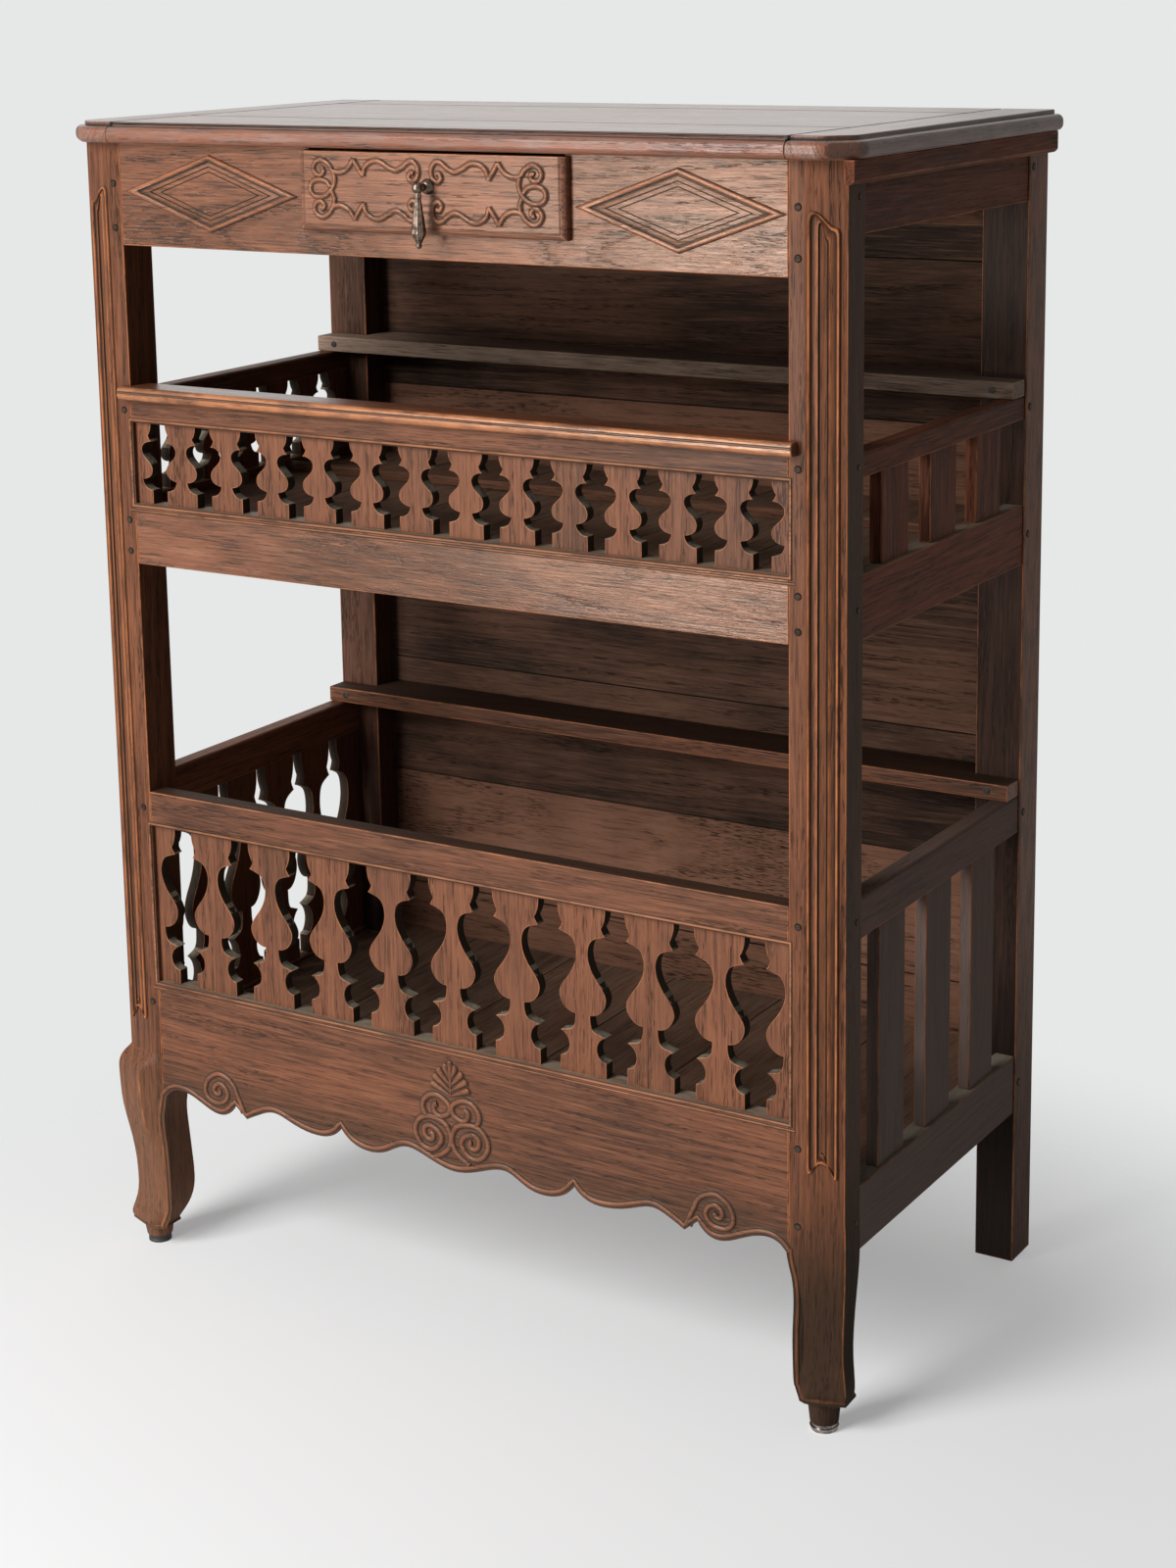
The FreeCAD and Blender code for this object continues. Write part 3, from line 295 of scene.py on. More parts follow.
def metal(slot):
    tones, marks = metalLooks[slot], metalGrain
    material, shade, surface = newMaterial(f"{slot}_finish")
    place = shade.node("ShaderNodeTexCoord", out="Object")
    wear = shade.node("ShaderNodeAttribute", {"attribute_name": "wear"}, out="Fac")
    cloud = place.noise(*marks["cloud"])
    grit = place.noise(*marks["grit"])
    ground = cloud.between(*marks["brightLevels"]).blend(tones["dark"], tones["bright"])
    rubbed = wear * cloud.between(*marks["edgeLevels"]) * marks["edgeShare"]
    ground = rubbed.blend(ground, tones["edge"])
    rough = tones["gloss"] + cloud * marks["cloudRough"] + grit * marks["gritRough"] - marks["polish"]
    relief = grit * marks["gritRelief"] + cloud
    bump = shade.node("ShaderNodeBump", {}, {"Height": relief, "Distance": marks["depth"],
                                             "Strength": marks["strength"]})
    feed(shade, surface, Base_Color=ground, Roughness=rough, Normal=bump)
    surface.inputs["Metallic"].default_value = tones["metal"]
    return material


# soft edges: each CAD piece as one welded mesh with rounded arrises, their rounds in millimetres
softening = {"weld": 1e-5, "carvedWeld": 1e-6, "flat": math.radians(0.4), "corner": math.radians(28),
             "smooth": math.radians(50), "metalSmooth": math.radians(24), "carvedSmooth": math.radians(38),
             "plain": 1.5}
postCorner = math.radians(45)   # the ridge of the leg is blunter than this and stays as it is
edgeRounds = {"top_board": 1.0, "upper_front_balusters": 0.7, "lower_front_balusters": 0.8,
              "left_balusters": 0.8, "drawer_front": 0.9, "back_boards": 0.8, "floor_boards": 1.0,
              "joint_pegs": 0.6, "ledge_nails": 0.3, "pull_": 0.25, "glide": 0.5, "post_front": 1.1}
# how far the heart of the log lies from each solid, across and along it, in metres
hearts = {"near": 0.12, "far": 0.3, "along": 3.0}
flamed = {"frieze_rail": 0.045, "drawer_front": 0.08}   # sawn close to the heart, so that the grain arches
# painted light and shade on the back boards, each after the level in millimetres that the board lies under
boardLightAndShade = ((560, 2.4), (900, -0.15), (1090, 1.3), (1500, -0.15))
woodSlots = ("dark_oak", "rough_oak")
lookNames = {"top_board": "top", "top_end": "top", "balusters": "baluster", "post_front_right": "postRight",
             "post_front": "post", "post_rear": "rearPost", "frieze": "frieze", "front_cap": "cap",
             "pegs": "peg", "plate_stop": "dry", "upper_ledge": "ledge", "back_boards": "back",
             "apron": "apron", "drawer_front": "drawer", "upper_front_bottom": "frieze",
             "side_battens": "side", "side_top_rail_right": "side", "right_top_rail": "side",
             "right_bottom_rail": "side", "right_slats": "side"}

# marks on the faces: how far a face is turned to get one, then how strong its dirt and painted shade is, or
# how rubbed it is
turned = {"sawn": 0.5, "dusty": 0.6, "topEdge": 0.85, "topEnd": 0.5, "quirk": 0.3, "dirtyTop": 0.8,
          "nose": 0.2, "square": 0.95}
soiledAndShaded = {"sawn": 1.0, "pegEdge": 0.9, "peg": 0.35, "crack": 1.0, "topEnd": 0.65, "quirk": 0.85,
          "joint": 1.0, "dirtyTop": 0.75, "pegHole": 0.4, "rightPost": 0.8, "rearPost": 0.55}
rubsAndHighlights = {"topEdge": 0.85, "nose": 0.8, "rearPost": 0.35}
crackedPieces = ("top_board", "floor_boards", "back_boards")   # their rounded edges hold dirt, not wear
crackReach = 0.44   # only this far to each side of the middle
dustyPieces = {"floor_boards": 0.5, "balusters": 1.0, "bottom_rail": 1.0, "apron": 1.0, "slats": 1.0}
dirtyTops = ("lower_front_top_rail", "lower_ledge")
topStep = 1.4098   # level of the quirk above the bullnose, which holds dirt and painted shade
topJoints = {"y": (-0.111, 0.188), "x": 0.443, "reach": 0.004, "round": 2.6, "segments": 3}
pegRim = 3e-6   # faces of posts smaller than this are rims of peg holes
woodOf = {}
grainOf = {}


def named(node, keys):
    return next((key for key in keys if key in node), None)


def islands(bm):   # the faces of each separate solid, in the order of the mesh
    found = []
    seen = set()
    for first in bm.faces:
        stack = [] if first in seen else [first]
        group = []
        seen.add(first)
        while stack:
            face = stack.pop()
            group.append(face)
            for edge in face.edges:
                fresh = [other for other in edge.link_faces if other not in seen]
                seen.update(fresh)
                stack += fresh
        if group:
            found.append(group)
    return found


def middle(faces):
    total = Vector((0, 0, 0))
    for face in faces:
        total += face.calc_center_median()
    return total / len(faces)


def longestAxis(faces):
    corners = [v.co for face in faces for v in face.verts]
    spans = [max(c[k] for c in corners) - min(c[k] for c in corners) for k in range(3)]
    return "xyz"[spans.index(max(spans))]


def paintWood(bm, faces, heart, tone):
    heartLayer = bm.faces.layers.float_vector.get("heart") or bm.faces.layers.float_vector.new("heart")
    toneLayer = bm.faces.layers.float.get("tone") or bm.faces.layers.float.new("tone")
    for face in faces:
        face[heartLayer] = heart
        face[toneLayer] = tone


def boardLightAndShadeAt(level):   # painted light makes the boards low in each bay the paler ones
    return next(tone for top, tone in boardLightAndShade if level < top)


def markWood(bm, node):   # a heart and a tone for each separate solid
    bm.faces.layers.float_vector.new("heart")
    bm.faces.layers.float.new("tone")
    groups = sorted(islands(bm), key=lambda group: tuple(round(v, 4) for v in middle(group)))
    grain = longestAxis(groups[0])
    for group in groups:
        angle = dice.uniform(0, 2 * math.pi)
        reach = flamed.get(node, dice.uniform(hearts["near"], hearts["far"]))
        across = [math.cos(angle) * reach, math.sin(angle) * reach]
        across.insert("xyz".index(grain), dice.uniform(-hearts["along"], hearts["along"]))
        woodOf[node] = (middle(group) + Vector(across), dice.random())
        # the back boards get painted light low in each bay and painted shade higher up, in place of a random
        # tone
        if node == "back_boards":
            woodOf[node] = (woodOf[node][0], boardLightAndShadeAt(middle(group).z / mm))
        paintWood(bm, group, *woodOf[node])
    return grain


def atJoint(x, y, z):   # on the worn joints in the face of the top
    near = min(abs(abs(x) - topJoints["x"]), *(abs(y - joint) for joint in topJoints["y"]))
    return z > topStep and near < topJoints["reach"]


def markDirtAndShade(bm, node):   # dirt in joints, dirt and painted shade on sawn edges and in the quirk, painted shade on faces turned from the light, dust on what faces up, and rubbed places
    grimeAndShadeLayer = bm.faces.layers.float.new("grimeAndShade")
    dustLayer = bm.faces.layers.float.new("dust")
    wearLayer = bm.faces.layers.float["wear"]
    thin = 1 if "front" in node else 0
    isTop = node.startswith("top_")
    for face in bm.faces:
        normal = face.normal
        at = face.calc_center_median()
        # dirt and painted shade on the balusters' sawn edges, between the balusters
        if "balusters" in node and abs(normal[thin]) < turned["sawn"] and not face[wearLayer]:
            face[grimeAndShadeLayer] = soiledAndShaded["sawn"]
        if node == "joint_pegs":
            face[grimeAndShadeLayer] = soiledAndShaded["pegEdge"] if face[wearLayer] else soiledAndShaded["peg"]
            face[wearLayer] = 0.0
        if named(node, crackedPieces) and face[wearLayer] and abs(at.x) < crackReach:
            face[grimeAndShadeLayer] = soiledAndShaded["crack"]
            face[wearLayer] = 0.0
        if named(node, dustyPieces) and normal.z > turned["dusty"]:
            face[dustLayer] = dustyPieces[named(node, dustyPieces)]
        if isTop and normal.z < turned["topEdge"]:   # the rubbed moulded edge
            face[wearLayer] = max(face[wearLayer], rubsAndHighlights["topEdge"])
            if abs(normal.x) > turned["topEnd"]:   # its ends get painted shade
                face[grimeAndShadeLayer] = max(face[grimeAndShadeLayer], soiledAndShaded["topEnd"])
        # dirt and painted shade in the quirk
        if isTop and abs(normal.z) < turned["quirk"] and at.z > topStep:
            face[grimeAndShadeLayer] = soiledAndShaded["quirk"]
        if isTop and atJoint(*at):
            face[grimeAndShadeLayer] = soiledAndShaded["joint"]
            face[wearLayer] = 0.0
        if node in dirtyTops and normal.z > turned["dirtyTop"]:
            face[grimeAndShadeLayer] = soiledAndShaded["dirtyTop"]
        if node == "upper_front_cap" and normal.y < -turned["nose"]:   # the rubbed nose, its pale worn tone partly a painted highlight
            face[wearLayer] = rubsAndHighlights["nose"]
        if "post" in node and face[wearLayer] and face.calc_area() < pegRim:
            face[wearLayer] = 0.0
            face[grimeAndShadeLayer] = soiledAndShaded["pegHole"]
        # painted shade on the right side of the right front post, which faces away from the light
        if node == "post_front_right" and normal.x > turned["square"]:
            face[grimeAndShadeLayer] = soiledAndShaded["rightPost"]
        # painted shade on the front of the right rear post, seen through the openings
        if node == "post_rear_right" and normal.y < -turned["square"]:
            face[grimeAndShadeLayer] = soiledAndShaded["rearPost"]
        # the right side of the right rear post is made paler in the worn tone
        if node == "post_rear_right" and normal.x > turned["square"]:
            face[wearLayer] = rubsAndHighlights["rearPost"]


def finished(name, bm, material, body, replaced=(), smooth=softening["smooth"]):
    mesh = bpy.data.meshes.new(name)
    bm.to_mesh(mesh)
    bm.free()
    piece = bpy.data.objects.new(name, mesh)
    bpy.context.scene.collection.objects.link(piece)
    mesh.materials.append(material)
    mesh.polygons.foreach_set("use_smooth", [True] * len(mesh.polygons))
    mesh.set_sharp_from_angle(angle=smooth)
    even = piece.modifiers.new("evenNormals", "WEIGHTED_NORMAL")
    even.keep_sharp = True
    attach(piece, body)
    for node in replaced:
        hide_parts(node)
    return piece


def weldedCopy(node):
    bm = bmesh.new()
    bm.from_mesh(frame["nodes"][node].data)
    bmesh.ops.remove_doubles(bm, verts=bm.verts, dist=softening["weld"])
    bmesh.ops.dissolve_limit(bm, angle_limit=softening["flat"], verts=bm.verts, edges=bm.edges)
    return bm


def bevelled(bm, edges, size, segments=2):
    return bmesh.ops.bevel(bm, geom=edges, offset=size * mm, offset_type="OFFSET", affect="EDGES",
                           segments=segments, profile=0.5, material=-1, clamp_overlap=False)["faces"]


def roundEdges(bm, node):
    wearLayer = bm.faces.layers.float.new("wear")
    size = edgeRounds.get(named(node, edgeRounds), softening["plain"])
    corner = postCorner if "post_front" in node else softening["corner"]
    if node.startswith("top_"):
        joints = [edge for edge in bm.edges if all(atJoint(*vert.co) for vert in edge.verts)]
        bevelled(bm, joints, topJoints["round"], topJoints["segments"])
    sharp = [edge for edge in bm.edges
             if edge.is_manifold and edge.is_convex and edge.calc_face_angle() > corner]
    for face in bevelled(bm, sharp, size):
        face[wearLayer] = 1.0


def lookOf(node):
    plain = "dry" if slotOf[node] == "rough_oak" else "waxed"
    return lookNames.get(named(node, lookNames), plain)


def softPiece(node):
    bm = weldedCopy(node)
    roundEdges(bm, node)
    if slotOf[node] not in woodSlots:
        return finished(f"soft_{node}", bm, metals[slotOf[node]], bodyOf[node], [node],
                        softening["metalSmooth"])
    markDirtAndShade(bm, node)
    grainOf[node] = markWood(bm, node)
    return finished(f"soft_{node}", bm, oak(lookOf(node), grainOf[node]), bodyOf[node], [node])


metals = {slot: metal(slot) for slot in metalLooks}
softPieces = {node: softPiece(node) for node in sorted(frame["nodes"])}
print("pieces softened:", len(softPieces))


# carved work: beads run along lines on a face of the piece that they are cut from
# the last two set the dirt and painted shade at the foot of each bead
beadShape = {"arcSteps": 8, "lowest": 15.0, "foot": 0.1, "lip": 0.02, "buried": 0.35, "soilAndShadeLow": 1.2,
             "soilAndShadeFall": 2.4}


def facing(x, y, turn=0.0):   # an upright plane through x, y in millimetres: across, up and out
    upright = Matrix(((1, 0, 0, 0), (0, 0, -1, 0), (0, 1, 0, 0), (0, 0, 0, 1)))
    return Matrix.Translation((x * mm, y * mm, 0)) @ Matrix.Rotation(turn, 4, "Z") @ upright


def flow(points, steps=6):   # a smooth line through the points
    ends = [points[0], *points, points[-1]]
    line = []
    for a, b, c, d in zip(ends, ends[1:], ends[2:], ends[3:]):
        for n in range(steps):
            t = n / steps
            line.append(tuple(0.5 * (2 * q + (r - p) * t + (2 * p - 5 * q + 4 * r - s) * t * t
                                     + (3 * q - p - 3 * r + s) * t ** 3) for p, q, r, s in zip(a, b, c, d)))
    return line + [tuple(points[-1])]


def mirrorLine(line):
    return [(-p[0], *p[1:]) for p in line]


def sweep(name, points, closed):
    curve = bpy.data.curves.new(name, "CURVE")
    curve.dimensions = "3D"
    curve.twist_mode = "Z_UP"
    addSpline(curve, points, closed)
    holder = bpy.data.objects.new(name, curve)
    bpy.context.scene.collection.objects.link(holder)
    return holder


def addSpline(curve, points, closed):
    spline = curve.splines.new("POLY")
    spline.points.add(len(points) - 1)
    spline.use_cyclic_u = closed
    for point, at in zip(spline.points, points):
        point.co = (at[0] * mm, at[1] * mm, 0, 1)
        point.radius = at[2] if len(at) > 2 else 1.0


def beadSection(radius, ground):   # a half round on a low foot, with hollowed ground to each side
    lowest, steps = beadShape["lowest"], beadShape["arcSteps"]
    angles = [math.radians(lowest + (180 - 2 * lowest) * n / steps) for n in range(steps + 1)]
    arc = [(radius * math.cos(angle), radius * math.sin(angle)) for angle in angles]
    half = [(radius + ground * 2, -beadShape["buried"] * radius),
            (radius + ground, beadShape["lip"] * radius), (radius, beadShape["foot"] * radius)]
    return half + arc + [(-u, v) for u, v in reversed(half)]


def tubes(paths, section, closed):
    profile = sweep("section", section, True)
    profile.data.dimensions = "2D"
    holder = sweep("line", paths[0], closed)
    for path in paths[1:]:
        addSpline(holder.data, path, closed)
    holder.data.bevel_mode = "OBJECT"
    holder.data.bevel_object = profile
    holder.data.use_fill_caps = True
    bpy.context.view_layer.update()
    mesh = bpy.data.meshes.new_from_object(holder.evaluated_get(bpy.context.evaluated_depsgraph_get()))
    bpy.data.objects.remove(holder)
    bpy.data.objects.remove(profile)
    bm = bmesh.new()
    bm.from_mesh(mesh)
    bpy.data.meshes.remove(mesh)
    bmesh.ops.remove_doubles(bm, verts=bm.verts, dist=softening["carvedWeld"])
    return bm


def carve(name, host, place, paths, radius, flat, wearing, ground, closed=False, look="carved", soilAndShade=0.5):
    bm = tubes(paths, beadSection(radius, ground), closed)
    wearLayer = bm.verts.layers.float.new("wear")
    grimeAndShadeLayer = bm.verts.layers.float.new("grimeAndShade")
    for vert in bm.verts:
        rise = vert.co.z / (radius * mm)
        vert[wearLayer] = max(0.0, rise) ** 2 * wearing
        # the ground beside each bead and the foot of its flank get dirt and painted shade, the dark border a
        # bead's shadow gives
        hollow = max(0.0, beadShape["soilAndShadeLow"] - rise * beadShape["soilAndShadeFall"])
        vert[grimeAndShadeLayer] = soilAndShade if rise < beadShape["lip"] * 2 else hollow
        vert.co.z = vert.co.z * flat
    bmesh.ops.transform(bm, matrix=place, verts=bm.verts)
    bmesh.ops.recalc_face_normals(bm, faces=bm.faces)
    paintWood(bm, bm.faces, *woodOf[host])
    return finished(name, bm, oak(look, grainOf[host]), bodyOf[host])


# lines of equal length, each with its rise, wear, and grime with dirt and painted shade in the grooves,
# joined in turn
def stepped(name, host, place, rings):
    bm = bmesh.new()
    wearLayer = bm.verts.layers.float.new("wear")
    grimeAndShadeLayer = bm.verts.layers.float.new("grimeAndShade")
    loop = [bm.verts.new((u * mm, v * mm, rings[0][1] * mm)) for u, v in rings[0][0]]
    edges = [bm.edges.new(pair) for pair in zip(loop, loop[1:] + loop[:1])]
    for line, rise, wear, grimeAndShade in rings:
        made = bmesh.ops.extrude_edge_only(bm, edges=edges)["geom"]
        edges = [part for part in made if isinstance(part, bmesh.types.BMEdge)]
        places = {vert.co.copy().freeze(): n for n, vert in enumerate(loop)}
        fresh = [part for part in made if isinstance(part, bmesh.types.BMVert)]
        loop = sorted(fresh, key=lambda vert: places[vert.co.copy().freeze()])
        for vert, (u, v) in zip(loop, line):
            vert.co = (u * mm, v * mm, rise * mm)
            vert[wearLayer] = wear
            vert[grimeAndShadeLayer] = grimeAndShade
    bmesh.ops.holes_fill(bm, edges=[edge for edge in bm.edges if edge.is_boundary])
    bmesh.ops.remove_doubles(bm, verts=bm.verts, dist=softening["carvedWeld"])
    bmesh.ops.transform(bm, matrix=place, verts=bm.verts)
    bmesh.ops.recalc_face_normals(bm, faces=bm.faces)
    paintWood(bm, bm.faces, *woodOf[host])
    return finished(name, bm, softPieces[host].data.materials[0], bodyOf[host],
                    smooth=softening["carvedSmooth"])


faceY = -248.0   # the front of rails and apron, in millimetres
frontFace = facing(0, faceY)

# frieze: a moulded diamond each side of the drawer, rings given as inset, rise, wear, and grime with dirt and
# painted shade in the grooves
diamond = {"left": -305.0, "right": 312.0, "level": 1335.0, "halfWidth": 127.0, "halfHeight": 45.0}
diamondRings = ((0.0, -0.4, 0.0, 0.9), (0.3, 0.3, 0.0, 0.9), (0.8, 1.8, 0.1, 0.4), (2.0, 3.3, 0.5, 0.0),
                (3.6, 3.9, 0.7, 0.0), (5.2, 3.4, 0.4, 0.0), (6.6, 2.0, 0.1, 0.4), (7.2, 0.4, 0.0, 1.0),
                (8.4, 0.4, 0.0, 1.0), (9.0, 1.2, 0.1, 0.2), (12.6, 1.9, 0.2, 0.0), (13.0, 0.2, 0.0, 1.0),
                (13.7, 0.2, 0.0, 1.0), (14.1, 1.5, 0.1, 0.1), (18.0, 1.5, 0.1, 0.0), (18.4, 0.2, 0.0, 1.0),
                (19.1, 0.2, 0.0, 1.0), (19.5, 1.5, 0.2, 0.1), (21.5, 1.6, 0.0, 0.0))


def diamondLine(inset):
    wide, high, level = diamond["halfWidth"], diamond["halfHeight"], diamond["level"]
    shrink = inset * math.hypot(wide, high)
    across = wide - shrink / high
    tall = high - shrink / wide
    return [(-across, level), (0, level - tall), (across, level), (0, level + tall)]


for side in ("left", "right"):
    stepped(f"frieze_diamond_{side}", "frieze_rail", facing(diamond[side], faceY),
            [(diamondLine(inset), *marks) for inset, *marks in diamondRings])
print("diamonds carved")

# front posts: a long moulded panel on the canted face, with a shaped head and an arched foot
panel = {"inner": 0.8, "outer": 35.6, "head": 1339.5, "foot": 303.5, "faceWidth": 43.0,
         "cant": math.atan2(13.0, 41.0), "cornerX": 459.0, "edgeX": 500.0, "edgeY": -235.0, "steps": 4}
panelHead = ((1.0, -22.0), (0.96, -18.0), (0.88, -16.6), (0.76, -15.0), (0.6, -10.0), (0.42, -4.2),
             (0.26, -0.6), (0.14, 0.0), (0.05, -1.8), (0.0, -8.0))
panelFoot = ((0.0, 8.0), (0.02, 2.0), (0.08, 0.5), (0.17, 5.0), (0.31, 11.0), (0.5, 13.0), (0.7, 10.0),
             (0.84, 2.5), (0.92, -3.5), (0.98, -4.0), (1.0, 2.0))
# rings given as inset, rise, wear, and grime with dirt and painted shade in the grooves
panelRings = ((0.0, -0.4, 0.0, 0.9), (0.3, 0.3, 0.0, 1.0), (0.8, 1.9, 0.5, 0.0), (1.7, 2.7, 1.0, 0.0),
              (2.8, 2.6, 1.0, 0.0), (3.8, 1.6, 0.4, 0.2), (4.3, 0.5, 0.0, 1.0), (5.6, 0.35, 0.0, 0.7),
              (8.4, 0.8, 0.1, 0.1), (10.6, 1.7, 0.5, 0.0), (11.6, 2.0, 0.8, 0.0), (12.0, 1.6, 0.2, 0.6),
              (12.3, 0.3, 0.0, 1.0), (13.6, 0.3, 0.0, 1.0), (14.2, 0.6, 0.1, 0.2))


def panelLine(inset, mirror):
    low = panel["inner"] + inset
    wide = panel["outer"] - panel["inner"] - 2 * inset
    foot = [(low + share * wide, panel["foot"] + inset + rise) for share, rise in panelFoot]
    head = [(low + share * wide, panel["head"] - inset + rise) for share, rise in panelHead]
    line = flow(foot, panel["steps"]) + flow(head, panel["steps"])
    return [(panel["faceWidth"] - u, v) for u, v in reversed(line)] if mirror else line


for side, mirror in (("right", False), ("left", True)):
    if mirror:
        place = facing(-panel["edgeX"], panel["edgeY"], -panel["cant"])
    else:
        place = facing(panel["cornerX"], faceY, panel["cant"])
    stepped(f"panel_moulding_{side}", f"post_front_{side}", place,
            [(panelLine(inset, mirror), *marks) for inset, *marks in panelRings])
print("post panels carved")

# drawer: one quarter of the scrollwork as the maker drew it, then turned over both ways
scroll = {"x": 3.3, "z": 1347.0, "face": -260.0}
scrollBead = {"radius": 2.9, "flat": 1.1, "wearing": 0.4, "ground": 1.4, "look": "frieze", "soilAndShade": 0.35}
scrollVolute = ((141, 21.5), (138, 22.5), (136, 18.5), (140.5, 14.5), (147, 16), (150, 22.5), (146, 29.2),
                (138, 31.5), (129, 26.5), (123.3, 19.7), (113, 18.2), (102.5, 23.2), (95, 33))
scrollNick = ((95, 33), (89.6, 24.5), (82.5, 15))
scrollWave = ((82.5, 15), (79.3, 25), (70.2, 31), (60, 31.4), (48.8, 25.5), (38.7, 22), (29.3, 25.8),
              (22.1, 31.2), (14.6, 32), (9, 25.4), (9.5, 16), (16, 10.3), (21.3, 14.6), (18.6, 19.9),
              (14.4, 19))
scrollLoop = ((122.6, 18.5), (121, 9), (125.7, -1), (135.8, -8.4), (148, -8.8), (154.5, -3), (153, 5.4),
              (144.5, 9.4), (132.8, 7.7), (127, 1.5))
scrollLink = ((125.7, -3), (122.1, -11), (123.3, -19.7))
drawerEdge = {"left": -162.0, "right": 174.0, "bottom": 1306.0, "top": 1388.0}
drawerEdgeBead = {"radius": 0.8, "flat": 0.6, "wearing": 0.0, "ground": 0.6, "soilAndShade": 0.1}


def scrollLines():
    lines = []
    for across in (1, -1):
        for up in (1, -1):
            for part in (scrollVolute, scrollNick, scrollWave):
                lines.append([(across * u, up * v) for u, v in flow(part)])
        lines += [[(across * u, v) for u, v in flow(part)] for part in (scrollLoop, scrollLink)]
    return [[(scroll["x"] + u, scroll["z"] + v) for u, v in line] for line in lines]


drawerFace = facing(0, scroll["face"])
carve("drawer_scrolls", "drawer_front", drawerFace, scrollLines(), **scrollBead)
drawerLine = [(drawerEdge["left"], drawerEdge["top"]), (drawerEdge["left"], drawerEdge["bottom"]),
              (drawerEdge["right"], drawerEdge["bottom"]), (drawerEdge["right"], drawerEdge["top"])]
carve("drawer_edge_line", "drawer_front", drawerFace, [drawerLine], **drawerEdgeBead)
print("drawer scrolls carved")

# apron: four spirals under a palmette in the middle, and a spiral in each end lobe
palmette = {"x": -3.0, "root": 1.2, "stem": (0, 296), "tip": (0, 338.5), "tipSize": 4.2,
            "tipShape": ((-9, 0.7), (0, 1.0), (2, 0.7), (3, 0.3))}   # rise and share of the size
palmetteBead = {"radius": 3.3, "flat": 0.85, "wearing": 0.35, "ground": 2.2}
endBead = {**palmetteBead, "radius": 3.0, "wearing": 0.45}
smallSpiral = ((34.4, 264.8), (39.6, 275.6), (37.9, 285.3), (29.7, 293.2), (18, 295), (6.3, 289.8),
               (1.6, 283.2), (4, 274.5), (15.7, 269.2), (23.3, 274.3), (23.9, 281.3), (19.2, 284.2))
largeSpiral = ((24.9, 216.5), (12, 223.7), (2.7, 234.3), (0.9, 248.1), (8.5, 261.2), (23.7, 266.3),
               (38.9, 264.5), (49.4, 254), (50.6, 241.2), (42.4, 229), (29.6, 225.2), (19, 231.7),
               (13.8, 241.9), (19, 250.7), (29.6, 255.2), (37.8, 251.3), (37.8, 242.3), (31.9, 237.5),
               (26.1, 239.7), (26.1, 244.7), (29, 246.1))
palmetteLobes = (((0, 318), (7.3, 334), 4.2), ((0, 310), (16, 327.5), 4.4), ((0, 303), (21.6, 318.8), 4.4),
                 ((0, 297), (24.8, 309), 4.2))
lobe = {"fromRoot": 0.42, "fromEnd": 0.58, "bow": (1.5, 1.0), "neck": 0.8, "steps": 5,
        "ends": ((0.25, 0.8), (0.45, 0.35))}   # past the end and share of the size
endSpiral = ((311, 211), (317.7, 226.3), (321.5, 234), (325.3, 243), (334, 250.7), (346.6, 254.7),
             (355.4, 252.5), (365.4, 245.3), (370.5, 235), (369.8, 224.3), (361.7, 217.2), (349.1, 216.6),
             (339.7, 221.7), (335.9, 230.5), (340.3, 238.9), (348.5, 242.3), (355.4, 238), (357.3, 231.8),
             (352.9, 227.6), (347.9, 229.9), (349.1, 233.7))


def lobeLine(root, end, size):   # a club that bows outwards and swells to a round end
    thin, full = palmette["root"] / palmetteBead["radius"], size / palmetteBead["radius"]
    bend = [lobe["fromRoot"] * r + lobe["fromEnd"] * e + bow for r, e, bow in zip(root, end, lobe["bow"])]
    swell = flow([(*root, thin), (*bend, lobe["neck"] * full), (*end, full)], lobe["steps"])
    ending = [(*(at + past * size for at in end), share * full) for past, share in lobe["ends"]]
    return swell + ending


def palmetteLines():
    thin, full = palmette["root"] / palmetteBead["radius"], palmette["tipSize"] / palmetteBead["radius"]
    tipX, tipZ = palmette["tip"]
    tip = [(tipX, tipZ + rise, share * full) for rise, share in palmette["tipShape"]]
    lines = [[(*palmette["stem"], thin), *tip]]
    for part in (flow(smallSpiral), flow(largeSpiral), *(lobeLine(*shape) for shape in palmetteLobes)):
        lines += [part, mirrorLine(part)]
    return [[(palmette["x"] + p[0], *p[1:]) for p in line] for line in lines]


carve("apron_palmette", "apron", frontFace, palmetteLines(), **palmetteBead)
endLine = flow(endSpiral)
carve("apron_end_spirals", "apron", frontFace, [endLine, mirrorLine(endLine)], **endBead)
scallop = {"inset": 2.4, "top": 232.0, "reach": 439.1, "near": 0.01}
edgeBead = {"radius": 2.6, "flat": 0.85, "wearing": 0.6, "ground": 1.8}


def scallopLine():   # the apron's own sawn edge, drawn in a little
    bm = weldedCopy("apron")
    corners = [(v.co.x / mm, v.co.y / mm, v.co.z / mm) for v in bm.verts]
    bm.free()
    line = sorted({(round(x, 2), round(z, 2)) for x, y, z in corners
                   if abs(y - faceY) < scallop["near"] and z < scallop["top"] and abs(x) < scallop["reach"]})
    drawn = []
    for n, point in enumerate(line):
        before, after = Vector(line[max(0, n - 1)]), Vector(line[min(len(line) - 1, n + 1)])
        along = (after - before).normalized()
        drawn.append((point[0] - along.y * scallop["inset"], point[1] + along.x * scallop["inset"]))
    return drawn


carve("apron_edge_bead", "apron", frontFace, [scallopLine()], **edgeBead)
print("apron carved")

